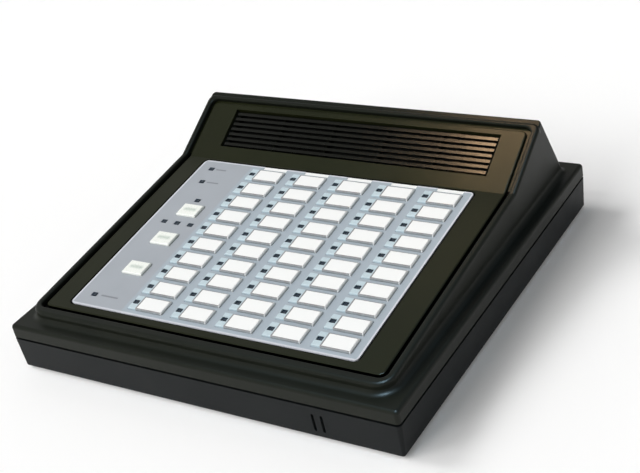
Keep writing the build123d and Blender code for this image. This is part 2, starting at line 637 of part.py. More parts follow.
def make_station_keys(column):
    return [make_key(place * Pos(KEY_MIDDLE, 0), KEY_WIDTH, KEY_HEIGHT, -KEY_MIDDLE, True, True)
            for c, place in stations() if c == column]


def make_labels(column):
    return [raised(FACE, place * Rectangle(LABEL_WIDTH, LABEL_HEIGHT), KEY_TOP - LABEL_THICK, KEY_TOP)
            for c, place in stations() if c == column]


def make_station_lamps():
    return [raised(FACE, place * Pos(-LAMP_LEFT, 0) * Rectangle(LAMP_WIDTH, LAMP_HEIGHT), BOARD_TOP, KEY_TOP)
            for _, place in stations()]


def make_status_lamps():
    return [raised(FACE, place * Rectangle(LAMP_WIDTH, LAMP_HEIGHT), BOARD_TOP, OVERLAY_TOP + LAMP_PROUD)
            for place in status_places()]


# ---- key board ----

def make_dome_mat():
    strip_h = (ROWS - 1) * ROW_PITCH + KEY_HEIGHT + 2 * KEY_FLANGE + 2 * MAT_STRIP_MARGIN
    half = LAMP_LEFT - LAMP_WIDTH / 2 - LAMP_CLEARANCE
    strips = Sketch()
    for column in range(COLUMNS):
        strips += Pos(column_x(column), 0) * Rectangle(2 * half, strip_h)
    strips += Pos(FUNCTION_X, 0) * Rectangle(FUNCTION_WIDTH, strip_h)
    left = FUNCTION_X - FUNCTION_WIDTH / 2
    right = column_x(COLUMNS - 1) + half
    for y in (-strip_h / 2 + MAT_STRIP_MARGIN, strip_h / 2 - MAT_STRIP_MARGIN):
        strips += Pos((left + right) / 2, y) * Rectangle(right - left, 2 * MAT_STRIP_MARGIN)
    strips -= [place * lamp_window() for place in status_places()]
    mat = raised(FACE, strips, BOARD_TOP, BOARD_TOP + MAT_THICK)
    centres = [place for _, place in stations()] + function_places()
    for place in centres:
        mat += loft([FACE.offset(BOARD_TOP + MAT_THICK) * place * Rectangle(DOME_BASE, DOME_BASE),
                     FACE.offset(DOME_CROWN) * place * Rectangle(DOME_TOP, DOME_TOP)])
    return mat


def make_key_board():
    depth = BOARD_FRONT + BOARD_REAR
    board = Pos(0, (BOARD_REAR - BOARD_FRONT) / 2) * Rectangle(BOARD_WIDTH, depth)
    board -= [place * Circle(SCREW_D / 2 + SCREW_CLEARANCE) for place in board_screw_places()]
    return raised(FACE, board, BOARD_BOTTOM, BOARD_TOP)


def make_board_screws():
    screws = []
    for place in board_screw_places():
        head = raised(FACE, place * Circle(SCREW_HEAD_D / 2), BOARD_BOTTOM - SCREW_HEAD_H, BOARD_BOTTOM)
        head = chamfer(head.edges().group_by(Axis.Z)[0], SCREW_HEAD_H / 4)
        shank = raised(FACE, place * Circle(SCREW_D / 2), BOARD_BOTTOM, BOARD_TOP + SCREW_BITE)
        screws.append(head + shank)
    return screws


# ---- speaker hood ----

def make_grille():
    """The louvred insert: a frame under the panel, lying louvres that stand up into the opening and
    lean up the slope, and ribs behind them."""
    outer_w = GRILLE_WIDTH - 2 * GRILLE_CLEARANCE
    outer_h = GRILLE_HEIGHT - 2 * GRILLE_CLEARANCE
    place = Pos(GRILLE_X, GRILLE_CENTRE)
    end_wall = GRILLE_END_GAP + GRILLE_WALL
    inside = Rectangle(outer_w - 2 * end_wall, outer_h - 2 * GRILLE_WALL)
    frame = raised(HOOD, place * (Rectangle(outer_w, outer_h) - inside), -GRILLE_DEPTH, -PANEL_THICK)
    flange = Rectangle(outer_w + 2 * GRILLE_FLANGE, outer_h + 2 * GRILLE_FLANGE)
    frame += raised(HOOD, place * (flange - inside), -PANEL_THICK - GRILLE_FLANGE_THICK, -PANEL_THICK)
    front = PANEL_RISE - GRILLE_RECESS
    gap = (GRILLE_HEIGHT - LOUVRES * LOUVRE_WIDTH) / (LOUVRES + 1)
    for n in range(LOUVRES):
        along = GRILLE_CENTRE - GRILLE_HEIGHT / 2 + gap + n * (LOUVRE_WIDTH + gap)
        section = [hood_point(along, front), hood_point(along + LOUVRE_WIDTH, front),
                   hood_point(along + LOUVRE_WIDTH + LOUVRE_LEAN, front - LOUVRE_DEPTH),
                   hood_point(along + LOUVRE_LEAN, front - LOUVRE_DEPTH)]
        frame += Pos(GRILLE_X, 0, 0) * side_form(section, GRILLE_WIDTH - 2 * GRILLE_END_GAP)
    pitch = outer_w / (RIBS + 1)
    for n in range(RIBS):
        x = GRILLE_X + (n - (RIBS - 1) / 2) * pitch
        rib = Pos(x, GRILLE_CENTRE) * Rectangle(RIB_WIDTH, outer_h - GRILLE_WALL)
        frame += raised(HOOD, rib, -GRILLE_DEPTH, front - LOUVRE_DEPTH / 2)
    posts = Sketch() + [p * Circle(POST_D / 2) for p in speaker_screw_places()]
    frame += raised(HOOD, posts, SPEAKER_BACK + FLANGE_THICK, -PANEL_THICK - GRILLE_FLANGE_THICK / 2)
    pilots = Sketch() + [p * Circle(SCREW_D / 2 + SCREW_CLEARANCE) for p in speaker_screw_places()]
    return frame - raised(HOOD, pilots, SPEAKER_BACK, SPEAKER_BACK + FLANGE_THICK + SCREW_BITE + PILOT_ROOM)


def make_cloth():
    sheet = Pos(GRILLE_X, GRILLE_CENTRE) * Rectangle(GRILLE_WIDTH - 2 * GRILLE_CLEARANCE,
                                                     GRILLE_HEIGHT - 2 * GRILLE_CLEARANCE)
    sheet -= [p * Circle(POST_D / 2 + PANEL_CLEARANCE) for p in speaker_screw_places()]
    return raised(HOOD, sheet, -GRILLE_DEPTH - CLOTH_THICK, -GRILLE_DEPTH)


def speaker_outline():
    return Pos(SPEAKER_X, GRILLE_CENTRE) * RectangleRounded(SPEAKER_WIDTH, SPEAKER_HEIGHT, SPEAKER_CORNER_R)


def make_gasket():
    ring = speaker_outline() - Pos(SPEAKER_X, GRILLE_CENTRE) * SlotOverall(CONE_WIDTH + 2 * GASKET_MARGIN,
                                                                           CONE_HEIGHT + 2 * GASKET_MARGIN)
    ring -= [p * Circle(POST_D / 2 + PANEL_CLEARANCE) for p in speaker_screw_places()]
    top = -GRILLE_DEPTH - CLOTH_THICK
    return raised(HOOD, ring, top - GASKET_THICK, top)


def basket_section(drop, margin):
    """Oval of the basket a given depth below its flange, narrowing to the magnet's seat."""
    share = drop / BASKET_DEPTH
    width = CONE_WIDTH + (BASKET_BACK_WIDTH - CONE_WIDTH) * share - 2 * margin
    height = CONE_HEIGHT + (BASKET_BACK_D - CONE_HEIGHT) * share - 2 * margin
    return Pos(SPEAKER_X, GRILLE_CENTRE) * SlotOverall(width, height)


def make_speaker_frame():
    seat = SPEAKER_BACK
    flange = speaker_outline() - Pos(SPEAKER_X, GRILLE_CENTRE) * SlotOverall(CONE_WIDTH - 2 * BASKET_WALL,
                                                                             CONE_HEIGHT - 2 * BASKET_WALL)
    flange -= [p * Circle(SCREW_D / 2 + SCREW_CLEARANCE) for p in speaker_screw_places()]
    frame = raised(HOOD, flange, seat, seat + FLANGE_THICK)
    back = seat - BASKET_DEPTH
    outside = loft([HOOD.offset(seat) * basket_section(0, 0),
                    HOOD.offset(back) * basket_section(BASKET_DEPTH, 0)])
    inside = loft([HOOD.offset(seat) * basket_section(0, BASKET_WALL),
                   HOOD.offset(back + BASKET_WALL) * basket_section(BASKET_DEPTH - BASKET_WALL, BASKET_WALL)])
    basket = outside - inside
    window = Pos(SPEAKER_X, GRILLE_CENTRE) * (Rectangle(BASKET_WINDOW, BIG) - Rectangle(BASKET_STRUT, BIG))
    basket -= raised(HOOD, window, back + BASKET_WINDOW_EDGE, seat - BASKET_WINDOW_EDGE)
    mouth = Pos(SPEAKER_X, GRILLE_CENTRE) * Circle(BASKET_MOUTH_D / 2)
    return frame + basket - raised(HOOD, mouth, back - CUT, back + BASKET_WALL + CUT)


def make_cone():
    """A thin oval cone between the basket's rim and the coil."""
    top, throat = SPEAKER_BACK, SPEAKER_BACK - CONE_DEPTH
    place = Pos(SPEAKER_X, GRILLE_CENTRE)
    rim_w, rim_h = CONE_WIDTH - 2 * CONE_GAP, CONE_HEIGHT - 2 * CONE_GAP
    wall = 2 * CONE_THICK
    outside = loft([HOOD.offset(top) * place * SlotOverall(rim_w, rim_h),
                    HOOD.offset(throat) * place * SlotOverall(COIL_D + COIL_OVAL, COIL_D)])
    inside = loft([HOOD.offset(top) * place * SlotOverall(rim_w - wall, rim_h - wall),
                   HOOD.offset(throat + CONE_THICK) * place
                   * SlotOverall(COIL_D + COIL_OVAL - wall, COIL_D - wall)])
    return outside - inside


def make_magnet():
    back = SPEAKER_BACK - BASKET_DEPTH
    place = Pos(SPEAKER_X, GRILLE_CENTRE)
    magnet = raised(HOOD, place * Circle(MAGNET_D / 2), back - MAGNET_THICK, back)
    return chamfer(magnet.edges().filter_by(GeomType.CIRCLE), MAGNET_CHAMFER)


def make_speaker_screws():
    screws = []
    tip = SPEAKER_BACK + FLANGE_THICK + SCREW_BITE
    for place in speaker_screw_places():
        head = raised(HOOD, place * Circle(SCREW_HEAD_D / 2), SPEAKER_BACK - SCREW_HEAD_H, SPEAKER_BACK)
        screws.append(head + raised(HOOD, place * Circle(SCREW_D / 2), SPEAKER_BACK, tip))
    return screws


# ---- in the base ----
LOGIC_BOTTOM = FLOOR_TOP + LOGIC_STANDOFF
LOGIC_TOP = LOGIC_BOTTOM + BOARD_THICK
LOGIC_REAR = REAR - WALL - LOGIC_REAR_GAP
LOGIC_Y = LOGIC_REAR - LOGIC_DEPTH / 2
JACK_BOTTOM = LOGIC_TOP
BOOT_FRONT = FRONT + WALL + BOOT_GAP
BOOT_Z = FLOOR_TOP + BOOT_D / 2
STIFFENERS_Y = [LOGIC_REAR - LOGIC_DEPTH - gap for gap in STIFFENER_GAPS]
LOGIC_HEADER_Y = LOGIC_REAR - LOGIC_DEPTH + HEADER_INSET
KEY_HEADER_SLOPE_Y = (LOGIC_HEADER_Y - RIBBON_RUN - FACE_Y) / cos(TILT)


def logic_screw_places():
    x = LOGIC_WIDTH / 2 - LOGIC_BOSS_INSET
    y = LOGIC_DEPTH / 2 - LOGIC_BOSS_INSET
    return [Pos(sx * x, LOGIC_Y + sy * y) for sx in (-1, 1) for sy in (-1, 1)]


def on_logic_board(x, y, sketch, height, low=0.0):
    """A piece on the board, at a place from the board's middle."""
    return extrude(Plane.XY.offset(LOGIC_TOP + low) * Pos(x, LOGIC_Y + y) * sketch, height)


def make_logic_board():
    board = Pos(0, LOGIC_Y) * Rectangle(LOGIC_WIDTH, LOGIC_DEPTH)
    board -= [place * Circle(SCREW_D / 2 + SCREW_CLEARANCE) for place in logic_screw_places()]
    return extrude(Plane.XY.offset(LOGIC_BOTTOM) * board, BOARD_THICK)


def make_logic_screws():
    screws = []
    for place in logic_screw_places():
        head = extrude(Plane.XY.offset(LOGIC_TOP) * place * Circle(SCREW_HEAD_D / 2), SCREW_HEAD_H)
        shank = extrude(Plane.XY.offset(LOGIC_BOTTOM - LOGIC_BITE) * place * Circle(SCREW_D / 2),
                        BOARD_THICK + LOGIC_BITE)
        screws.append(chamfer(head.edges().group_by(Axis.Z)[-1], SCREW_HEAD_H / 4) + shank)
    return screws


def make_line_jack():
    """Modular socket: a box open to the rear, with a latch notch in its mouth."""
    body = Plane.XZ.offset(-REAR) * Pos(JACK_X, JACK_BOTTOM + JACK_HEIGHT / 2)
    jack = extrude(body * Rectangle(JACK_WIDTH, JACK_HEIGHT), JACK_DEPTH)
    mouth = Rectangle(JACK_WIDTH - 2 * JACK_WALL, JACK_HEIGHT - 2 * JACK_WALL)
    jack -= extrude(body * mouth, JACK_DEPTH - 2 * JACK_WALL)
    notch = Pos(0, -JACK_HEIGHT / 2 + JACK_WALL) * Rectangle(JACK_NOTCH_WIDTH, JACK_WALL)
    return jack - extrude(body * notch, JACK_NOTCH_DEPTH)


def make_transformer():
    x, y = TRANSFORMER_X, TRANSFORMER_Y
    core = on_logic_board(x, y, Rectangle(TRANSFORMER_WIDTH, CORE_DEPTH), TRANSFORMER_HEIGHT)
    bobbin = on_logic_board(x, y, Rectangle(BOBBIN_WIDTH, TRANSFORMER_DEPTH), BOBBIN_HEIGHT, BOBBIN_LIFT)
    base = on_logic_board(x, y, Rectangle(TRANSFORMER_WIDTH, TRANSFORMER_DEPTH), TRANSFORMER_BASE)
    return chamfer(core.edges().group_by(Axis.Z)[-1], CORE_CHAMFER) + bobbin + base


def make_chips():
    chips = []
    for x, y, turn in CHIP_PLACES:
        outline = Rot(0, 0, turn) * Rectangle(CHIP_LENGTH, CHIP_WIDTH - 2 * CHIP_LEG)
        body = on_logic_board(x, y, outline, CHIP_HEIGHT - CHIP_LIFT, CHIP_LIFT)
        row = Rot(0, 0, turn) * Rectangle(CHIP_LENGTH - CHIP_LEG, CHIP_WIDTH)
        legs = on_logic_board(x, y, row, CHIP_LEG_HEIGHT)
        chips.append(chamfer(body.edges().group_by(Axis.Z)[-1], CHIP_CHAMFER) + legs)
    return chips


def make_capacitors():
    cans = [on_logic_board(x, y, Circle(CAPACITOR_D / 2), CAPACITOR_HEIGHT) for x, y in CAPACITOR_PLACES]
    return [fillet(can.edges().group_by(Axis.Z)[-1], CAPACITOR_EDGE_R) for can in cans]


def make_headers():
    lower = on_logic_board(0, LOGIC_HEADER_Y - LOGIC_Y, Rectangle(HEADER_WIDTH, HEADER_DEPTH), HEADER_HEIGHT)
    upper = raised(FACE, Pos(0, KEY_HEADER_SLOPE_Y) * Rectangle(HEADER_WIDTH, HEADER_DEPTH),
                   BOARD_BOTTOM - HEADER_HEIGHT, BOARD_BOTTOM)
    return [lower, upper]


def make_ribbon():
    """Flat cable that drops from the key board's header to the logic board's."""
    top = face_point(KEY_HEADER_SLOPE_Y, BOARD_BOTTOM - HEADER_HEIGHT)
    bend = face_point(KEY_HEADER_SLOPE_Y, BOARD_BOTTOM - HEADER_HEIGHT - RIBBON_END)
    low_z = LOGIC_TOP + HEADER_HEIGHT
    route = FilletPolyline(top, bend, (LOGIC_HEADER_Y, low_z + RIBBON_END), (LOGIC_HEADER_Y, low_z),
                           radius=RIBBON_BEND_R)
    strip = Plane.YZ * trace(route, RIBBON_THICK)
    return extrude(strip, RIBBON_WIDTH / 2, both=True)


def make_mic_boot():
    boot = Plane.XZ.offset(-BOOT_FRONT) * Pos(SLOT_X, BOOT_Z)
    body = extrude(boot * Circle(BOOT_D / 2 - MIC_CLEARANCE), -BOOT_LENGTH)
    bore = extrude(boot * Circle(MIC_D / 2 + MIC_CLEARANCE), -MIC_LENGTH)
    return body - bore


def make_mic():
    capsule = extrude(Plane.XZ.offset(-BOOT_FRONT) * Pos(SLOT_X, BOOT_Z) * Circle(MIC_D / 2), -MIC_LENGTH)
    return chamfer(capsule.edges().filter_by(GeomType.CIRCLE), MIC_CHAMFER)


def write(name, solids):
    """One STEP file per node. A group of like pieces shares a node as separate solids."""
    pieces = solids if isinstance(solids, list) else [solids]
    pieces = [solid for piece in pieces for solid in piece.solids()]
    export_step(pieces[0] if len(pieces) == 1 else Compound(children=pieces), f"parts/{name}.step")


def main():
    os.makedirs("parts", exist_ok=True)
    write("lower_case", make_lower_case())
    write("upper_case", make_upper_case())
    write("face_panel", make_face_panel())
    write("keypad_overlay", make_overlay())
    write("column_tabs", make_tabs())
    for column in range(COLUMNS):
        write(f"station_keys_{column + 1}", make_station_keys(column))
        write(f"station_labels_{column + 1}", make_labels(column))
    for number, place in enumerate(function_places(), 1):
        write(f"function_key_{number}", make_key(place, FUNCTION_WIDTH, FUNCTION_HEIGHT, 0, False, False))
    write("station_lamps", make_station_lamps())
    write("status_lamps", make_status_lamps())
    write("key_dome_mat", make_dome_mat())
    write("key_board", make_key_board())
    write("key_board_screws", make_board_screws())
    write("speaker_grille", make_grille())
    write("grille_cloth", make_cloth())
    write("speaker_gasket", make_gasket())
    write("speaker_frame", make_speaker_frame())
    write("speaker_cone", make_cone())
    write("speaker_magnet", make_magnet())
    write("speaker_screws", make_speaker_screws())
    write("logic_board", make_logic_board())
    write("logic_board_screws", make_logic_screws())
    write("audio_transformer", make_transformer())
    write("board_chips", make_chips())
    write("filter_capacitors", make_capacitors())
    write("ribbon_headers", make_headers())
    write("ribbon_cable", make_ribbon())
    write("line_jack", make_line_jack())
    write("microphone_boot", make_mic_boot())
    write("microphone_capsule", make_mic())
    write("rubber_feet", make_feet())
    write("case_screws", make_case_screws())


main()
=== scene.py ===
"""A desk intercom station dressed for studio views: finishes for its moulded case, its louvred
speaker hood and its keypad, and the small lenses, cards, feet and fasteners that need rounder
shapes than the plain solids have. Laid out as an add-on. Everything is in metres, in the frame
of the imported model."""
import json
from math import cos, pi, radians, sin

import bpy
from bpy.props import FloatProperty, FloatVectorProperty, PointerProperty
from mathutils import Matrix, Quaternion, Vector


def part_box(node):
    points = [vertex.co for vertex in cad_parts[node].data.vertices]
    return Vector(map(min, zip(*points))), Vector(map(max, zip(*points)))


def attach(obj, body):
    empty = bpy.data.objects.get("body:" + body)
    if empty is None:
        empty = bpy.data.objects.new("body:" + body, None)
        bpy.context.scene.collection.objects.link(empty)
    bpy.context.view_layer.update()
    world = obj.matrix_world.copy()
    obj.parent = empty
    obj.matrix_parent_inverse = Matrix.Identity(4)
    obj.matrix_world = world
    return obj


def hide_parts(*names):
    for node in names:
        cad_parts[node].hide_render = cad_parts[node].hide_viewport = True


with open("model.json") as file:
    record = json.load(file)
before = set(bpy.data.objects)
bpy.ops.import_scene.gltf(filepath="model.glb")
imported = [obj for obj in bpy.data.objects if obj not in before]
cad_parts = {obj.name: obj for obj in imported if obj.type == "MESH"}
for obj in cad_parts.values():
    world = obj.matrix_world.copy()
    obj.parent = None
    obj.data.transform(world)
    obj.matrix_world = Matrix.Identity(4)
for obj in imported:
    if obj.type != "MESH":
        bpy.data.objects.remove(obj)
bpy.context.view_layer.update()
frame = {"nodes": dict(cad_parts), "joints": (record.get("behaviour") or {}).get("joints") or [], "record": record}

bl_info = {
    "name": "Desk intercom",
    "version": (1, 0, 0),
    "blender": (4, 5, 0),
    "location": "View3D > Sidebar > Intercom",
    "description": "Finishes and small fittings of a fifty-key desk intercom station",
    "category": "Object",
}

MM = 0.001
RECORD = frame["record"]
SLOT_OF = {part["node"]: part["material_slot"] for part in RECORD["subparts"]}
BODY_OF = {node: body for body, nodes in RECORD["behaviour"]["bodies"].items() for node in nodes}
STATION_BANKS = sorted(name for name in frame["nodes"] if name.startswith("station_labels"))
FUNCTION_KEYS = sorted(name for name in frame["nodes"] if name.startswith("function_key"))

# ---- the two sloping planes of the face ----
KEY_AXIS = -Vector(frame["joints"][0]["axis"])      # keys press against this direction
ACROSS = Vector((1, 0, 0))
UP_FACE = KEY_AXIS.cross(ACROSS)


def span(node, direction):
    """Lowest and highest place of a node along a direction."""
    reach = [vertex.co.dot(direction) for vertex in frame["nodes"][node].data.vertices]
    return min(reach), max(reach)


def slope(node, out, up):
    """A matrix from a plane's own x, y and z to the frame. Its origin is the middle of a node's
    outer face."""
    sides = [span(node, axis) for axis in (ACROSS, up, out)]
    middle = ACROSS * sum(sides[0]) / 2 + up * sum(sides[1]) / 2 + out * sides[2][1]
    return Matrix.Translation(middle) @ Matrix((ACROSS, up, out)).transposed().to_4x4()


FACE = slope("keypad_overlay", KEY_AXIS, UP_FACE)
HOOD_TILT = radians(28.0)
HOOD_OUT = Vector((0, -sin(HOOD_TILT), cos(HOOD_TILT)))
HOOD = slope("speaker_grille", HOOD_OUT, HOOD_OUT.cross(ACROSS))


# ---- sizes that only the finishes use ----
# Painted shade: between these heights the channel round the panel is painted black.
CHANNEL_SHADE = (-0.55 * MM, -0.35 * MM)            # heights between which the channel turns black
CLOTH_THREAD = 0.55 * MM
FUNCTION_MARK = (8.0 * MM, 2.2 * MM)
STATUS_MARK_HEIGHT = 1.1 * MM
# Short printed marks beside the status lamps: place on the film, and length
STATUS_MARKS = (((-70.5 * MM, 58.0 * MM), 7.0 * MM), ((-68.5 * MM, 45.6 * MM), 8.0 * MM),
                ((-66.5 * MM, -56.9 * MM), 11.0 * MM))
BLACK = (0.001, 0.001, 0.001)
WHITE = (1.0, 1.0, 1.0)


# ---- shader maths ----

class Value:
    """A socket of some nodes. Python's operators add Math nodes to it."""

    def __init__(self, nodes, socket):
        self.nodes = nodes
        self.socket = socket

    def math(self, operation, *others):
        inputs = dict(enumerate((self, *others)))
        return self.nodes.node("ShaderNodeMath", {"operation": operation}, inputs)

    def __add__(self, other):
        return self.math("ADD", other)

    def __sub__(self, other):
        return self.math("SUBTRACT", other)

    def __mul__(self, other):
        return self.math("MULTIPLY", other)

    def __truediv__(self, other):
        return self.math("DIVIDE", other)

    def __abs__(self):
        return self.math("ABSOLUTE")

    def clamped(self):
        return self.math("MINIMUM", 1.0).math("MAXIMUM", 0.0)

    def fold(self, pitch):
        """Distance from the nearest of many places a pitch apart, with its sign."""
        return self.math("WRAP", pitch / 2, -pitch / 2)


class Nodes:
    """The node tree of a material or of the surroundings."""

    def __init__(self, owner):
        owner.use_nodes = True
        self.tree = owner.node_tree
        self.tree.nodes.clear()

    def node(self, kind, settings=None, inputs=None, out=0):
        """Adds a node, gives it its settings and then its sockets' values or links."""
        node = self.tree.nodes.new(kind)
        for name, value in (settings or {}).items():
            setattr(node, name, value)
        for name, value in (inputs or {}).items():
            self.feed(node.inputs[name], value)
        return None if out is None else Value(self, node.outputs[out])

    def feed(self, socket, value):
        if isinstance(value, Value):
            self.tree.links.new(value.socket, socket)
        else:
            socket.default_value = value

    def remap(self, value, low, high, to_low, to_high, ease="LINEAR"):
        return self.node("ShaderNodeMapRange", {"clamp": True, "interpolation_type": ease},
                         {"Value": value, "From Min": low, "From Max": high,
                          "To Min": to_low, "To Max": to_high})


class Finish(Nodes):
    """A node material with one principled shader, on Object coordinates."""

    def __init__(self, name, **constants):
        self.material = bpy.data.materials.new(name)
        super().__init__(self.material)
        self.shader = self.tree.nodes.new("ShaderNodeBsdfPrincipled")
        surface = Value(self, self.shader.outputs["BSDF"])
        self.node("ShaderNodeOutputMaterial", inputs={"Surface": surface}, out=None)
        for socket, value in constants.items():
            self.shader.inputs[socket.replace("_", " ")].default_value = value
        self.place = self.node("ShaderNodeTexCoord", out="Object")

    def drive(self, name, value):
        """Feeds one of the shader's sockets."""
        self.feed(self.shader.inputs[name], value)

    def noise(self, size, detail=2.0, roughness=0.5):
        """Noise whose blobs are about a given size across."""
        return self.node("ShaderNodeTexNoise", {"noise_dimensions": "3D"},
                         {"Vector": self.place, "Scale": 1 / size, "Detail": detail,
                          "Roughness": roughness}, out="Fac")

    def cells(self, size):
        """Distance from the nearest of many scattered points about a given size apart."""
        return self.node("ShaderNodeTexVoronoi", {"feature": "F1"},
                         {"Vector": self.place, "Scale": 1 / size}, out="Distance")

    def blend(self, share, first, second):
        """A mix of two colours."""
        return self.node("ShaderNodeMix", {"data_type": "RGBA"},
                         {"Factor": share, 6: first, 7: second}, out=2)

    def bump(self, height, depth, strength=1.0, under=None):
        """A bump of a given depth. A second bump may lie under it."""
        inputs = {"Height": height, "Distance": depth, "Strength": strength}
        if under is not None:
            inputs["Normal"] = under
        return self.node("ShaderNodeBump", inputs=inputs)

    def on_plane(self, plane):
        """The x, y and height of each point of the surface on a sloping plane."""
        turn = plane.inverted()
        axes = []
        for row in turn[:3]:
            dot = self.node("ShaderNodeVectorMath", {"operation": "DOT_PRODUCT"},
                            {0: self.place, 1: row[:3]}, out="Value")
            axes.append(dot + row[3])
        return axes

    def box_mask(self, x, y, centre, size, soft=0.2 * MM):
        """One inside a rectangle on a plane and zero outside it."""
        across = self.remap(abs(x - centre[0]), size[0] / 2 - soft, size[0] / 2 + soft, 1.0, 0.0)
        along = self.remap(abs(y - centre[1]), size[1] / 2 - soft, size[1] / 2 + soft, 1.0, 0.0)
        return across * along


def rgb(colour, share=1.0):
    """A colour with its alpha, scaled by a share."""
    return (*(channel * share for channel in colour[:3]), 1.0)


def label_grid():
    """Centre of a label, the labels' size and the distances between them, on the face's plane."""
    centres = []
    for node in STATION_BANKS:
        places, size = on_face(node)
        centres += [FACE.inverted() @ place.translation for place in places]
    columns = sorted({round(centre.x, 4) for centre in centres})
    rows = sorted({round(centre.y, 4) for centre in centres})
    pitch = Vector((columns[1] - columns[0], rows[1] - rows[0]))
    return centres[0].xy, size.xy, pitch


# ---- finishes ----

def moulded_plastic(name, colour, grain, roughness, shine=0.22):
    """Satin moulded plastic: a spark-eroded grain, faint flow marks and handled patches."""
    finish = Finish(name, IOR=1.5, Specular_IOR_Level=shine)
    fine = finish.noise(grain, 3.0)
    flow = finish.noise(22 * MM, 3.0)
    handled = finish.noise(55 * MM, 4.0, roughness=0.6)
    tint = (colour[0] * 1.15, colour[1] * 1.12, colour[2] * 1.05)
    base = finish.blend(flow, rgb(colour, 0.85), rgb(tint, 1.15))
    specks = finish.remap(finish.cells(1.6 * MM), 0.0, 0.12, 0.5, 0.0)
    specks = specks * finish.remap(handled, 0.45, 0.7, 0.0, 1.0)
    finish.drive("Base Color", finish.blend(specks, base, rgb(colour, 3.2)))
    finish.drive("Roughness", finish.remap(handled + fine * 0.25, 0.3, 0.9,
                                           roughness - 0.07, roughness + 0.1))
    waves = finish.bump(flow, 0.12 * MM, 0.35)
    finish.drive("Normal", finish.bump(fine, 0.035 * MM, 0.55, waves))
    return finish


def shade_channel(finish):
    """Painted shade: black without a sheen for the channel round the panel, below the panel's top."""
    height = finish.on_plane(FACE)[2]
    deep = finish.remap(height, *CHANNEL_SHADE, 1.0, 0.0)
    base = finish.shader.inputs["Base Color"].links[0].from_socket
    # Painted shade: a black, fully metallic base takes away the channel's colour and its sheen.
    finish.drive("Base Color", finish.blend(deep, Value(finish, base), rgb(BLACK)))
    finish.drive("Metallic", deep)


def keypad_film(name, keypad):
    """Printed film: a cool grey field, paler columns of keys, a painted highlight along its edge and
    short marks beside the status lamps."""
    finish = Finish(name, IOR=1.5, Specular_IOR_Level=0.35)
    x, y = finish.on_plane(FACE)[:2]
    reach = [span("keypad_overlay", axis) for axis in (ACROSS, UP_FACE)]
    size = [high - low for low, high in reach]
    grain = finish.noise(0.25 * MM, 2.0)
    cloud = finish.noise(18 * MM, 3.0)
    field = finish.blend(cloud, rgb(keypad.film_colour, 0.93), rgb(keypad.film_colour, 1.07))
    in_keys = finish.remap(x, keypad.key_field_left, keypad.key_field_left + 1.2 * MM, 0.0, 1.0)
    toned = finish.blend(in_keys * 0.8, field, rgb(keypad.stripe_colour))
    off_column = abs((x - keypad.column_start) / keypad.column_pitch).clamped()
    shade = finish.blend(off_column * 0.1, toned, rgb(keypad.stripe_colour, 0.9))
    # Painted highlight: a pale line along the film's edge, where the edge catches light.
    inner = finish.box_mask(x, y, (0, 0), [side - 2 * keypad.painted_edge_highlight_width for side in size])
    film_with_painted_edge_highlight = finish.blend(inner, rgb(keypad.painted_edge_highlight_colour), shade)
    marks = 0.0
    for centre, length in STATUS_MARKS:
        marks = finish.box_mask(x, y, centre, (length, STATUS_MARK_HEIGHT), 0.25 * MM) + marks
    finish.drive("Base Color", finish.blend(marks * 0.55, film_with_painted_edge_highlight, rgb(keypad.film_colour, 0.28)))
    finish.drive("Roughness", finish.remap(grain, 0.3, 0.7, 0.36, 0.5))
    finish.drive("Normal", finish.bump(grain, 0.012 * MM, 0.5))
    return finish.material


def card(name, colour):
    """White card under a clear film."""
    finish = Finish(name, IOR=1.5, Specular_IOR_Level=0.4, Coat_Roughness=0.12, Coat_Weight=0.6)
    fibre = finish.noise(0.35 * MM, 4.0, roughness=0.7)
    finish.drive("Base Color", finish.blend(fibre, rgb(colour, 0.96), rgb(colour, 1.0)))
    finish.drive("Roughness", finish.remap(fibre, 0.3, 0.7, 0.45, 0.6))
    finish.drive("Normal", finish.bump(finish.noise(5 * MM), 0.05 * MM, 0.3))
    return finish.material


def key_cap(name, keypad):
    """Glossy moulded key: slightly milky, with fine wear where it is pressed, with painted shade
    and dust in the seam round its label, and its right side painted light beyond the label."""
    finish = Finish(name, IOR=1.5, Specular_IOR_Level=0.35)
    x, y = finish.on_plane(FACE)[:2]
    milk = finish.noise(4 * MM, 2.0)
    rub = finish.noise(0.8 * MM, 3.0)
    cap = finish.blend(milk, rgb(keypad.key_colour, 0.95), rgb(keypad.key_colour, 1.03))
    centre, size, pitch = label_grid()
    across = (x - centre.x).fold(pitch.x)
    along = (y - centre.y).fold(pitch.y)
    # Painted shade and dust: a dark seam along the label's left, front and rear edges.
    seam = (size.x + keypad.seam, size.y + 2 * keypad.seam)
    in_seam = finish.box_mask(across, along, (-keypad.seam / 2, 0), seam, 0.1 * MM)
    # Patches in the seam's painted shade and dust
    dust = finish.remap(finish.noise(2.5 * MM, 3.0), 0.3, 0.7, 0.8, 1.0)
    # Painted light: the key's right side beyond the label takes the card's white, so the side lying in shade reads
    # as lit.
    painted_light_right_side = finish.remap(across, size.x / 2, size.x / 2 + 0.1 * MM, 0.0, 1.0)
    cap_with_painted_light_side = finish.blend(painted_light_right_side, cap, rgb(keypad.card_colour))
    finish.drive("Base Color", finish.blend(in_seam * dust, cap_with_painted_light_side, rgb(keypad.seam_dust_and_shade_colour)))
    finish.drive("Roughness", finish.remap(rub, 0.35, 0.75, 0.24, 0.42))
    finish.drive("Normal", finish.bump(rub, 0.01 * MM, 0.4))
    return finish.material


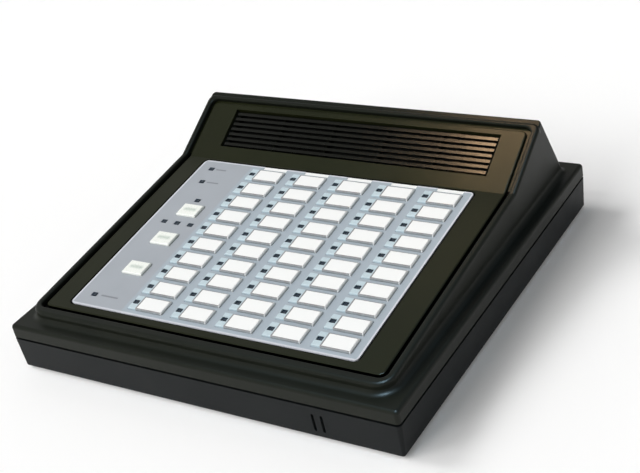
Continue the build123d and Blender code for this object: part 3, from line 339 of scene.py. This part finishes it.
def function_cap(name, keypad):
    """Function key with a plain printed band across it."""
    finish = Finish(name, IOR=1.5, Specular_IOR_Level=0.45)
    x, y = finish.on_plane(FACE)[:2]
    milk = finish.noise(3 * MM, 3.0)
    plain = keypad.function_colour
    colour = finish.blend(milk, rgb(plain, 0.93), rgb(plain, 1.03))
    mark = 0.0
    for node in FUNCTION_KEYS:
        low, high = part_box(node)
        centre = FACE.inverted() @ ((low + high) / 2)
        mark = finish.box_mask(x, y, centre, FUNCTION_MARK, 0.9 * MM) + mark
    finish.drive("Base Color", finish.blend(mark * 0.46, colour, rgb(keypad.mark_colour)))
    finish.drive("Roughness", finish.remap(finish.noise(0.8 * MM), 0.35, 0.75, 0.24, 0.4))
    return finish.material


def lamp_lens(name, colour):
    """Dark tinted lens, a moulded prism pattern inside it, and a painted sheen seen edge-on."""
    finish = Finish(name, IOR=1.49, Specular_IOR_Level=0.3, Coat_Weight=0.25, Coat_Roughness=0.05)
    prisms = finish.cells(0.5 * MM)
    deep = finish.blend(prisms, rgb(colour, 0.5), rgb(colour, 2.2))
    # Painted sheen: the lens is painted lighter where it is seen edge-on.
    painted_rim_sheen = finish.node("ShaderNodeLayerWeight", inputs={"Blend": 0.35}, out="Facing")
    finish.drive("Base Color", finish.blend(painted_rim_sheen * 0.5, deep, rgb(colour, 4.0)))
    finish.drive("Roughness", finish.remap(prisms, 0.0, 0.8, 0.12, 0.3))
    return finish.material


def rubber(name, colour):
    finish = Finish(name, IOR=1.5, Specular_IOR_Level=0.3)
    grain = finish.noise(0.4 * MM, 4.0, roughness=0.7)
    dust = finish.noise(6 * MM, 3.0)
    finish.drive("Base Color", finish.blend(dust * 0.5, rgb(colour), rgb(colour, 2.4)))
    finish.drive("Roughness", finish.remap(grain, 0.3, 0.7, 0.72, 0.92))
    finish.drive("Normal", finish.bump(grain, 0.04 * MM, 0.5))
    return finish.material


def plated_metal(name, colour, roughness, grain=0.3 * MM):
    """Plated or rolled metal with fine turning marks and dull patches."""
    finish = Finish(name, Metallic=1.0)
    marks = finish.noise(grain, 3.0)
    dull = finish.noise(7 * MM, 3.0)
    finish.drive("Base Color", finish.blend(dull, rgb(colour, 0.82), rgb(colour, 1.05)))
    finish.drive("Roughness", finish.remap(marks * 0.5 + dull * 0.5, 0.3, 0.7,
                                           roughness - 0.1, roughness + 0.12))
    finish.drive("Normal", finish.bump(marks, 0.01 * MM, 0.5))
    return finish.material


def woven_cloth(name, colour):
    """Plain weave in the hood's plane, painted lighter on the threads and darker between them as light and shade.
    """
    finish = Finish(name, IOR=1.5, Specular_IOR_Level=0.15)
    x, y = finish.on_plane(HOOD)[:2]
    warp, weft = ((place * (pi / CLOTH_THREAD)).math("SINE") for place in (x, y))
    over = abs(warp * weft)
    fuzz = finish.noise(0.2 * MM, 3.0)
    # Painted light and shade: the threads' crossings lighter, the gaps between them darker.
    lit = (over + fuzz * 0.4).clamped()
    finish.drive("Base Color", finish.blend(lit, rgb(colour, 0.4), rgb(colour, 1.3)))
    finish.drive("Roughness", finish.remap(fuzz, 0.3, 0.7, 0.85, 1.0))
    finish.drive("Normal", finish.bump(over, 0.15 * MM, 0.8))
    return finish.material


def laminate(name, colour):
    """Circuit board: woven glass under a solder mask, with broad conductor bands."""
    finish = Finish(name, IOR=1.5, Specular_IOR_Level=0.5)
    bands = finish.node("ShaderNodeTexWave", {"wave_type": "BANDS", "bands_direction": "X"},
                        {"Vector": finish.place, "Scale": 90.0, "Distortion": 6.0,
                         "Detail": 1.0}, out="Fac")
    track = finish.remap(bands, 0.62, 0.68, 0.0, 1.0)
    glass = finish.noise(0.4 * MM, 2.0)
    finish.drive("Base Color", finish.blend(track, rgb(colour), rgb(colour, 1.7)))
    finish.drive("Roughness", finish.remap(glass, 0.3, 0.7, 0.3, 0.45))
    finish.drive("Normal", finish.bump(track, 0.035 * MM, 0.6))
    return finish.material


def layered(name, colour, pitch, metallic, roughness):
    """Stacked or ribbed stuff: steel laminations or a ribbon cable's conductors."""
    finish = Finish(name, Metallic=metallic)
    waves = {"wave_type": "BANDS", "bands_direction": "X", "wave_profile": "SIN"}
    ridge = finish.node("ShaderNodeTexWave", waves,
                        {"Vector": finish.place, "Scale": 1 / pitch / pi / 2,
                         "Distortion": 0.0}, out="Fac")
    wear = finish.noise(3 * MM, 3.0)
    finish.drive("Base Color", finish.blend(ridge, rgb(colour, 0.6), rgb(colour, 1.1)))
    finish.drive("Roughness", finish.remap(wear, 0.3, 0.7, roughness - 0.08, roughness + 0.1))
    finish.drive("Normal", finish.bump(ridge, 0.15 * MM, 0.7))
    return finish.material


def porous(name, colour, pore, roughness, depth=0.2):
    """Foam, pulp, ferrite or epoxy: a pitted matt surface."""
    finish = Finish(name, IOR=1.5, Specular_IOR_Level=0.25)
    pits = finish.cells(pore)
    cloud = finish.noise(8 * pore, 3.0)
    finish.drive("Base Color", finish.blend(cloud, rgb(colour, 0.8), rgb(colour, 1.2)))
    finish.drive("Roughness", finish.remap(pits, 0.0, 0.8, roughness - 0.1, roughness + 0.05))
    finish.drive("Normal", finish.bump(pits, depth * pore, 0.7))
    return finish.material


# ---- settings ----

def colour_setting(name, description, default):
    return FloatVectorProperty(name=name, description=description, default=default, size=3,
                               subtype="COLOR", min=0.0, max=1.0)


def size_setting(name, description, default):
    return FloatProperty(name=name, description=description, default=default, unit="LENGTH",
                         subtype="DISTANCE", precision=5)


def place_setting(name, description, default):
    return FloatVectorProperty(name=name, description=description, default=default, size=3,
                               unit="LENGTH", subtype="XYZ")


def angle_setting(name, description, default):
    return FloatProperty(name=name, description=description, default=radians(default),
                         unit="ROTATION", subtype="ANGLE")


def share_setting(name, description, default):
    return FloatProperty(name=name, description=description, default=default, min=0.0, max=1.0,
                         subtype="FACTOR")


def strength_setting(name, description, default):
    return FloatProperty(name=name, description=description, default=default, min=0.0)


def power_setting(name, description, default):
    return FloatProperty(name=name, description=description, default=default, min=0.0,
                         unit="POWER")


class CaseSettings(bpy.types.PropertyGroup):
    """Colours and grain of the moulded case."""
    colour: colour_setting("Case colour", "Upper case's plastic", (0.0080, 0.0096, 0.0064))
    tray_colour: colour_setting("Tray colour", "Lower case's plastic", (0.0066, 0.0080, 0.0086))
    panel_colour: colour_setting("Panel colour", "Bent face panel", (0.0108, 0.0126, 0.0040))
    grille_colour: colour_setting("Grille colour", "Louvred insert", (0.0034, 0.0038, 0.0022))
    cloth_colour: colour_setting("Cloth colour", "Cloth behind the louvres", (0.010, 0.010, 0.009))
    grain: size_setting("Grain", "Size of the moulding's spark-eroded grain", 0.45 * MM)
    roughness: share_setting("Roughness", "Mean roughness of the satin plastic", 0.42)


class KeypadSettings(bpy.types.PropertyGroup):
    """Colours and sizes of the keypad's print, and of the shade and highlight painted on it."""
    film_colour: colour_setting("Film colour", "Printed film round the keys", (0.370, 0.395, 0.430))
    stripe_colour: colour_setting("Column colour", "Film round the keys' columns",
                                  (0.380, 0.445, 0.500))
    # Painted highlight along the film's edge
    painted_edge_highlight_colour: colour_setting("Border colour", "Light line round the film", (0.62, 0.64, 0.69))
    card_colour: colour_setting("Card colour", "Label cards", (0.94, 0.95, 0.94))
    key_colour: colour_setting("Key colour", "Station keys", (0.53, 0.64, 0.69))
    # Painted shade and dust in the seam round a label
    seam_dust_and_shade_colour: colour_setting("Seam colour", "Shade and dust round a label",
                                (0.240, 0.230, 0.230))
    seam: size_setting("Seam", "Width of the shaded seam round a label", 0.7 * MM)
    function_colour: colour_setting("Function key colour", "The three function keys",
                                    (0.90, 0.93, 0.88))
    mark_colour: colour_setting("Mark colour", "Band printed on a function key",
                                (0.22, 0.33, 0.26))
    lamp_colour: colour_setting("Lamp colour", "Unlit lamp lenses", (0.0035, 0.0105, 0.0190))
    # Width of the painted highlight along the film's edge
    painted_edge_highlight_width: size_setting("Border", "Width of the light line", 1.0 * MM)
    column_pitch: size_setting("Column pitch", "Distance between columns of keys", 27.4 * MM)
    column_start: size_setting("Column start", "Middle of the first column on the film", -36.8 * MM)
    key_field_left: size_setting("Key field", "Where the columns' printed field begins", -53.5 * MM)
    lens_dish: size_setting("Lens dish", "Depth of the hollow in a lamp lens", 0.15 * MM)


class StudioSettings(bpy.types.PropertyGroup):
    """Camera, floor and lights."""
    eye: place_setting("Camera", "Place of the camera", (0.3615, -0.4738, 0.3775))
    aim: place_setting("Aim", "Point that the camera looks at", (0.01850, -0.01010, 0.0404))
    roll: angle_setting("Roll", "Camera's lean to its right", 11.835)
    lens: FloatProperty(name="Lens", description="Focal length on a sensor 36 mm wide",
                        default=72.46, min=10.0, unit="CAMERA")
    floor_size: size_setting("Floor size", "Width of the floor", 6.0)
    floor_shade: share_setting("Floor shade", "Grey value of the floor", 0.94)
    floor_glow: share_setting("Floor glow", "White added to the floor for the camera", 0.06)
    key_spread: angle_setting("Key spread", "Angle that each part of the key light fills", 22.0)
    key_strength: strength_setting("Key strength", "Light of the whole key", 3.35)
    fill_spread: angle_setting("Fill spread", "Angle that the overhead fill takes", 150.0)
    fill_strength: strength_setting("Fill strength", "Light of the overhead fill", 0.30)
    key_colour: colour_setting("Key colour", "Colour of the key light", (1.0, 0.995, 0.99))
    sheen_from: place_setting("Sheen place", "Warm lamp whose sheen lies on the hood",
                              (-0.030, 0.095, 0.400))
    sheen_aim: place_setting("Sheen aim", "Point that the warm lamp faces", (0.112, 0.078, 0.06))
    sheen_size: size_setting("Sheen size", "Width of the warm lamp", 0.08)
    sheen_power: power_setting("Sheen light", "Strength of the warm lamp", 0.040)
    sheen_colour: colour_setting("Sheen colour", "Colour of the warm lamp", (1.0, 0.66, 0.38))
    glint_from: place_setting("Glint place", "Cool lamp that glints on the front right corner",
                              (0.32, -0.32, 0.95))
    glint_aim: place_setting("Glint aim", "Point that the cool lamp faces", (0.10, -0.10, 0.04))
    glint_size: size_setting("Glint size", "Width of the cool lamp", 0.08)
    glint_power: power_setting("Glint light", "Strength of the cool lamp", 1.1)
    glint_colour: colour_setting("Glint colour", "Colour of the cool lamp", (0.55, 0.82, 1.0))
    wall_top: share_setting("Wall top", "Sine of the angle at which the white wall ends", 0.34)
    window: strength_setting("Window", "Light from the left", 0.72)
    dim: strength_setting("Dim side", "Light from the right", 0.18)
    top: share_setting("Top", "Share of the window's light that is left overhead", 0.30)


# Parts of the key light: how far each leans to the left and to the front for each metre of
# height, and its share of the light
KEY_LIGHTS = {"rear": (1.00, 0.10, 0.34), "middle": (0.80, 0.80, 0.30), "front": (0.50, 1.70, 0.36)}
SMALL_LAMP_SPREAD = radians(40.0)
# Edges of what the surroundings show, as sines of angles above the horizon or, for the window's
# sides, to the right of the middle
WALL_FOOT = 0.02
WINDOW_EDGES = (-0.80, -0.05)
WINDOW_TOP = (0.68, 0.90)


# ---- modelling ----

BEVEL_FROM = radians(40.0)          # edges sharper than this are rounded
SMOOTH_BELOW = radians(20.0)        # edges flatter than this are shaded smooth
WELD = 0.001 * MM
FACING = 0.9                        # how well a normal has to agree with an axis
LENS_STEPS = ((1 / 3, 0.35 * MM), (2 / 3, 0.30 * MM))      # share of the dish's depth, and width
LENS_ROUND = 0.15 * MM
CARD_ROUND = 0.12 * MM
FOOT_STEPS = ((0.0, 0.38), (0.35 * MM, 0.06))              # depth, and share of the radius
FOOT_ROUND = 0.4 * MM


def settle():
    """Leaves edit mode and deselects everything."""
    if bpy.context.object and bpy.context.object.mode != "OBJECT":
        bpy.ops.object.mode_set(mode="OBJECT")
    bpy.ops.object.select_all(action="DESELECT")


def named(name):
    obj = bpy.context.object
    obj.name = name
    obj.data.name = name
    return obj


def apply_place(obj):
    settle()
    obj.select_set(True)
    bpy.context.view_layer.objects.active = obj
    bpy.ops.object.transform_apply(location=True, rotation=True, scale=True)


def block(name, size, low):
    """A box on the plane z = low, for shaping further."""
    settle()
    bpy.ops.mesh.primitive_cube_add(size=1, location=(0, 0, low + size[2] / 2))
    obj = named(name)
    obj.scale = size
    apply_place(obj)
    return obj


def disc(name, radius, height, sides):
    """An upright cylinder on the plane z = 0, for shaping further."""
    settle()
    bpy.ops.mesh.primitive_cylinder_add(vertices=sides, radius=radius, depth=height,
                                        location=(0, 0, height / 2))
    obj = named(name)
    apply_place(obj)
    return obj


def edit_faces(obj, test):
    """Opens edit mode with the faces selected whose normal passes a test."""
    settle()
    obj.select_set(True)
    bpy.context.view_layer.objects.active = obj
    bpy.ops.object.mode_set(mode="EDIT")
    bpy.ops.mesh.select_mode(type="FACE")
    bpy.ops.mesh.select_all(action="DESELECT")
    bpy.ops.object.mode_set(mode="OBJECT")
    for face in obj.data.polygons:
        face.select = test(face.normal)
    bpy.ops.object.mode_set(mode="EDIT")


def inset(depth, thickness):
    """Draws the selected faces in, and moves them out by a depth."""
    bpy.ops.mesh.inset(thickness=thickness, depth=depth)


def finish_edges(obj, width, segments):
    """Rounds a piece's sharp edges with a bevel that is then applied."""
    settle()
    obj.select_set(True)
    bpy.context.view_layer.objects.active = obj
    bevel = obj.modifiers.new("Rounded edges", "BEVEL")
    bevel.width = width
    bevel.segments = segments
    bevel.limit_method = "ANGLE"
    bevel.angle_limit = BEVEL_FROM
    bevel.harden_normals = False
    bpy.ops.object.modifier_apply(modifier=bevel.name)
    bpy.ops.object.shade_smooth_by_angle(angle=SMOOTH_BELOW)


def copies(pattern, places, name):
    """One object with a copy of the pattern at each place. The pattern goes away."""
    made = []
    for place in places:
        copy = pattern.copy()
        copy.data = pattern.data.copy()
        bpy.context.scene.collection.objects.link(copy)
        copy.matrix_world = place
        made.append(copy)
    bpy.data.objects.remove(pattern)
    settle()
    for copy in made:
        copy.select_set(True)
    bpy.context.view_layer.objects.active = made[0]
    bpy.ops.object.transform_apply(location=True, rotation=True, scale=True)
    if len(made) > 1:
        bpy.ops.object.join()
    return named(name)


def island_boxes(node):
    """Low corner, high corner and vertices of each separate solid of a node."""
    settle()
    source = frame["nodes"][node]
    probe = source.copy()
    probe.data = source.data.copy()
    bpy.context.scene.collection.objects.link(probe)
    probe.select_set(True)
    bpy.context.view_layer.objects.active = probe
    bpy.ops.object.mode_set(mode="EDIT")
    bpy.ops.mesh.select_all(action="SELECT")
    bpy.ops.mesh.remove_doubles(threshold=WELD)
    bpy.ops.mesh.separate(type="LOOSE")
    bpy.ops.object.mode_set(mode="OBJECT")
    boxes = []
    for part in list(bpy.context.selected_objects):
        corners = [vertex.co.copy() for vertex in part.data.vertices]
        boxes.append((Vector(map(min, *corners)), Vector(map(max, *corners)), corners))
        bpy.data.objects.remove(part)
    boxes.sort(key=lambda box: (round(box[0].x, 4), round(box[0].y, 4)))
    return boxes


def on_face(node):
    """Places of a node's separate solids on the face, as matrices at the middle of their outer
    faces, and the size of one."""
    places, size = [], None
    for *_, corners in island_boxes(node):
        local = [FACE.inverted() @ corner for corner in corners]
        low, high = Vector(map(min, *local)), Vector(map(max, *local))
        top = Vector(((low.x + high.x) / 2, (low.y + high.y) / 2, high.z))
        places.append(FACE @ Matrix.Translation(top))
        size = high - low
    return places, size


def dress(obj, node, material):
    """Puts a piece in a node's place: its body and a finish."""
    obj.data.materials.clear()
    obj.data.materials.append(material)
    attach(obj, BODY_OF[node])
    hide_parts(node)


def paint(nodes, material):
    """Gives CAD nodes a finish in place of their plain one."""
    for node in nodes:
        for slot in frame["nodes"][node].material_slots:
            slot.material = material


def nodes_of(slot):
    return [node for node in frame["nodes"] if SLOT_OF[node] == slot]


# ---- pieces ----

class INTERCOM_OT_case(bpy.types.Operator):
    """Finish both case halves, the face panel and the louvred insert"""
    bl_idname = "intercom.case"
    bl_label = "Case"

    def execute(self, context):
        case = context.scene.intercom_case
        # share of the grain's size, how much smoother than the mean, and shine
        for nodes, name, colour, fineness, polish, shine in (
                (["upper_case"], "Housing plastic", case.colour, 1.0, 0.0, 0.17),
                (["lower_case"], "Tray plastic", case.tray_colour, 1.0, 0.0, 0.125),
                (nodes_of("grille_plastic"), "Grille plastic", case.grille_colour, 0.7, 0.16, 0.34),
                (nodes_of("panel_plastic"), "Panel plastic", case.panel_colour, 0.8, 0.04, 0.17)):
            finish = moulded_plastic(name, colour, case.grain * fineness,
                                     case.roughness - polish, shine)
            if name == "Panel plastic":
                shade_channel(finish)
            paint(nodes, finish.material)
        paint(nodes_of("speaker_cloth"), woven_cloth("Speaker cloth", case.cloth_colour))
        return {"FINISHED"}


class INTERCOM_OT_keypad(bpy.types.Operator):
    """Finish the printed film, the title tabs and the keys"""
    bl_idname = "intercom.keypad"
    bl_label = "Keypad"

    def execute(self, context):
        keypad = context.scene.intercom_keypad
        paint(nodes_of("overlay_film"), keypad_film("Keypad film", keypad))
        paint(nodes_of("key_plastic"), key_cap("Key plastic", keypad))
        paint(nodes_of("function_key_plastic"), function_cap("Function key plastic", keypad))
        paint(nodes_of("label_card"), card("Label card", keypad.card_colour))
        return {"FINISHED"}


class INTERCOM_OT_label_cards(bpy.types.Operator):
    """Model the label inserts with rounded corners, one group for each bank of keys"""
    bl_idname = "intercom.label_cards"
    bl_label = "Label cards"

    def execute(self, context):
        material = card("Label insert", context.scene.intercom_keypad.card_colour)
        for node in STATION_BANKS:
            places, size = on_face(node)
            insert = block("insert", size, -size.z)
            finish_edges(insert, CARD_ROUND, 2)
            dress(copies(insert, places, node + "_inserts"), node, material)
        return {"FINISHED"}


class INTERCOM_OT_lamps(bpy.types.Operator):
    """Model the dished lenses of the station lamps and the status lamps"""
    bl_idname = "intercom.lamps"
    bl_label = "Lamps"

    def execute(self, context):
        keypad = context.scene.intercom_keypad
        material = lamp_lens("Lamp lens", keypad.lamp_colour)
        for node in ("station_lamps", "status_lamps"):
            places, size = on_face(node)
            lens = block("lens", size, -size.z)
            edit_faces(lens, lambda normal: normal.z > FACING)
            for share, width in LENS_STEPS:
                inset(-keypad.lens_dish * share, width)
            finish_edges(lens, LENS_ROUND, 2)
            dress(copies(lens, places, node + "_lenses"), node, material)
        return {"FINISHED"}


class INTERCOM_OT_feet(bpy.types.Operator):
    """Model the rubber feet with a rounded edge and a dished face"""
    bl_idname = "intercom.feet"
    bl_label = "Rubber feet"

    def execute(self, context):
        node = "rubber_feet"
        places, radius, height = [], 0.0, 0.0
        for low, high, corners in island_boxes(node):
            radius, height = (high.x - low.x) / 2, high.z - low.z
            places.append(Matrix.Translation(((low.x + high.x) / 2, (low.y + high.y) / 2, low.z)))
        foot = disc("foot", radius, height, 48)
        edit_faces(foot, lambda normal: normal.z < -FACING)
        for depth, share in FOOT_STEPS:
            inset(-depth, radius * share)
        finish_edges(foot, FOOT_ROUND, 3)
        feet = copies(foot, places, "rubber_feet_dished")
        dress(feet, node, rubber("Foot rubber", (0.012, 0.012, 0.012)))
        return {"FINISHED"}


class INTERCOM_OT_fasteners(bpy.types.Operator):
    """Finish the plated screws"""
    bl_idname = "intercom.fasteners"
    bl_label = "Fasteners"

    def execute(self, context):
        paint(nodes_of("screw_steel"), plated_metal("Zinc plate", (0.50, 0.50, 0.48), 0.34))
        return {"FINISHED"}


class INTERCOM_OT_inner_parts(bpy.types.Operator):
    """Finish the speaker, the boards and everything on them"""
    bl_idname = "intercom.inner_parts"
    bl_label = "Inner parts"

    def execute(self, context):
        finishes = {
            "mat_rubber": rubber("Dome mat rubber", (0.30, 0.30, 0.29)),
            "board_laminate": laminate("Board laminate", (0.020, 0.080, 0.030)),
            "gasket_foam": porous("Gasket foam", (0.020, 0.020, 0.020), 0.7 * MM, 0.92),
            "speaker_steel": plated_metal("Speaker steel", (0.42, 0.41, 0.38), 0.40),
            "speaker_paper": porous("Cone pulp", (0.030, 0.028, 0.026), 0.5 * MM, 0.90, 0.1),
            "magnet_ferrite": porous("Magnet ferrite", (0.040, 0.040, 0.043), 0.25 * MM, 0.60,
                                     0.05),
            "transformer_steel": layered("Steel laminations", (0.26, 0.25, 0.24), 0.5 * MM, 1.0,
                                         0.45),
            "chip_epoxy": porous("Chip epoxy", (0.016, 0.016, 0.017), 0.15 * MM, 0.55, 0.05),
            "capacitor_can": layered("Capacitor sleeve", (0.020, 0.035, 0.090), 10 * MM, 0.0,
                                     0.35),
            "connector_plastic": moulded_plastic("Connector plastic", (0.012, 0.012, 0.012),
                                                 0.3 * MM, 0.40).material,
            "ribbon_vinyl": layered("Ribbon cable", (0.33, 0.33, 0.34), 1.27 * MM, 0.0, 0.45),
            "capsule_aluminium": plated_metal("Capsule aluminium", (0.72, 0.72, 0.74), 0.30),
        }
        for slot, material in finishes.items():
            paint(nodes_of(slot), material)
        return {"FINISHED"}


class INTERCOM_OT_stage(bpy.types.Operator):
    """Set the floor, the lights, the surroundings and the camera"""
    bl_idname = "intercom.stage"
    bl_label = "Stage"

    def execute(self, context):
        studio = context.scene.intercom_studio
        settle()
        bpy.ops.mesh.primitive_plane_add(size=studio.floor_size, location=(0, 0, 0))
        floor = named("floor")
        floor.data.materials.append(self.floor_finish(studio))
        self.surround(context.scene, studio)
        for name, (left, front, share) in KEY_LIGHTS.items():
            self.wide_lamp("key_light_" + name, (-left, -front, 1.0), studio.key_spread,
                           studio.key_strength * share, studio.key_colour)
        self.wide_lamp("fill_light", (0, 0, 1), studio.fill_spread, studio.fill_strength, WHITE)
        self.small_lamp("sheen_light", studio.sheen_from, studio.sheen_aim, studio.sheen_size,
                        studio.sheen_power, studio.sheen_colour)
        self.small_lamp("glint_light", studio.glint_from, studio.glint_aim, studio.glint_size,
                        studio.glint_power, studio.glint_colour)
        self.camera(context.scene, studio)
        context.scene.view_settings.view_transform = "Standard"
        return {"FINISHED"}

    def floor_finish(self, studio):
        """Pale floor that shows white where nothing shades it."""
        material = bpy.data.materials.new("Studio floor")
        floor = Nodes(material)
        seen = floor.node("ShaderNodeLightPath", out="Is Camera Ray")
        for ray in ("Is Glossy Ray", "Is Transmission Ray"):
            seen = seen.math("MAXIMUM", floor.node("ShaderNodeLightPath", out=ray))
        matt = floor.node("ShaderNodeBsdfDiffuse", inputs={"Color": rgb((studio.floor_shade,) * 3)})
        glow = floor.node("ShaderNodeEmission", inputs={"Strength": seen * studio.floor_glow})
        both = floor.node("ShaderNodeAddShader", inputs={0: matt, 1: glow})
        floor.node("ShaderNodeOutputMaterial", inputs={"Surface": both}, out=None)
        return material

    def surround(self, scene, studio):
        """A white wall round the horizon, and a soft window that fills the left side above it."""
        scene.world = bpy.data.worlds.new("Studio")
        world = Nodes(scene.world)
        towards = world.node("ShaderNodeTexCoord", out="Generated")
        right, up = (world.node("ShaderNodeSeparateXYZ", inputs={0: towards}, out=axis)
                     for axis in "XZ")
        wall = world.remap(up, WALL_FOOT, studio.wall_top, 1.0, 0.0, "SMOOTHSTEP")
        side = world.remap(right, *WINDOW_EDGES, studio.window, studio.dim, "SMOOTHSTEP")
        below = world.remap(up, *WINDOW_TOP, 1.0, studio.top, "SMOOTHSTEP")
        light = wall.math("MAXIMUM", side * below)
        glow = world.node("ShaderNodeBackground", inputs={"Color": rgb(WHITE), "Strength": light})
        world.node("ShaderNodeOutputWorld", inputs={"Surface": glow}, out=None)

    def wide_lamp(self, name, place, spread, strength, colour):
        """Even light from a wide part of the sky, which casts no reflection of its own."""
        lamp = self.lamp(name, "SUN", place, (0, 0, 0), strength, colour)
        lamp.data.angle = spread
        lamp.visible_glossy = False

    def small_lamp(self, name, place, aim, size, power, colour):
        """A lamp that shows only in what is shiny."""
        lamp = self.lamp(name, "AREA", place, aim, power, colour)
        lamp.data.size = size
        lamp.data.spread = SMALL_LAMP_SPREAD
        lamp.visible_diffuse = False
        lamp.visible_camera = False

    def lamp(self, name, kind, place, aim, power, colour):
        light = bpy.data.lights.new(name, kind)
        light.energy = power
        light.color = colour
        lamp = bpy.data.objects.new(name, light)
        bpy.context.scene.collection.objects.link(lamp)
        lamp.location = place
        lamp.rotation_mode = "QUATERNION"
        lamp.rotation_quaternion = (Vector(aim) - Vector(place)).to_track_quat("-Z", "Y")
        return lamp

    def camera(self, scene, studio):
        data = bpy.data.cameras.new("camera")
        data.lens = studio.lens
        data.sensor_width = 36.0
        data.sensor_fit = "HORIZONTAL"
        data.clip_start = 0.01
        data.clip_end = 100.0
        camera = bpy.data.objects.new("camera", data)
        scene.collection.objects.link(camera)
        eye = Vector(studio.eye)
        level = (Vector(studio.aim) - eye).to_track_quat("-Z", "Y")
        camera.rotation_mode = "QUATERNION"
        camera.rotation_quaternion = level @ Quaternion((0, 0, 1), -studio.roll)
        camera.location = eye
        scene.camera = camera


class INTERCOM_PT_panel(bpy.types.Panel):
    """Sidebar list of the intercom's pieces"""
    bl_idname = "INTERCOM_PT_panel"
    bl_label = "Desk intercom"
    bl_space_type = "VIEW_3D"
    bl_region_type = "UI"
    bl_category = "Intercom"

    def draw(self, context):
        for operator in OPERATORS:
            self.layout.operator(operator.bl_idname)
        for settings in SETTINGS:
            group = getattr(context.scene, settings)
            box = self.layout.box()
            for name in group.__annotations__:
                box.prop(group, name)


OPERATORS = (INTERCOM_OT_stage, INTERCOM_OT_case, INTERCOM_OT_keypad, INTERCOM_OT_label_cards,
             INTERCOM_OT_lamps, INTERCOM_OT_feet, INTERCOM_OT_fasteners, INTERCOM_OT_inner_parts)
SETTINGS = {"intercom_case": CaseSettings, "intercom_keypad": KeypadSettings,
            "intercom_studio": StudioSettings}
CLASSES = (*SETTINGS.values(), *OPERATORS, INTERCOM_PT_panel)


def register():
    for cls in CLASSES:
        bpy.utils.register_class(cls)
    for name, cls in SETTINGS.items():
        setattr(bpy.types.Scene, name, PointerProperty(type=cls))


def unregister():
    for name in SETTINGS:
        delattr(bpy.types.Scene, name)
    for cls in reversed(CLASSES):
        bpy.utils.unregister_class(cls)


def main():
    register()
    for operator in OPERATORS:
        getattr(bpy.ops.intercom, operator.bl_idname.split(".")[1])()
    settle()


if __name__ == "__main__":
    main()
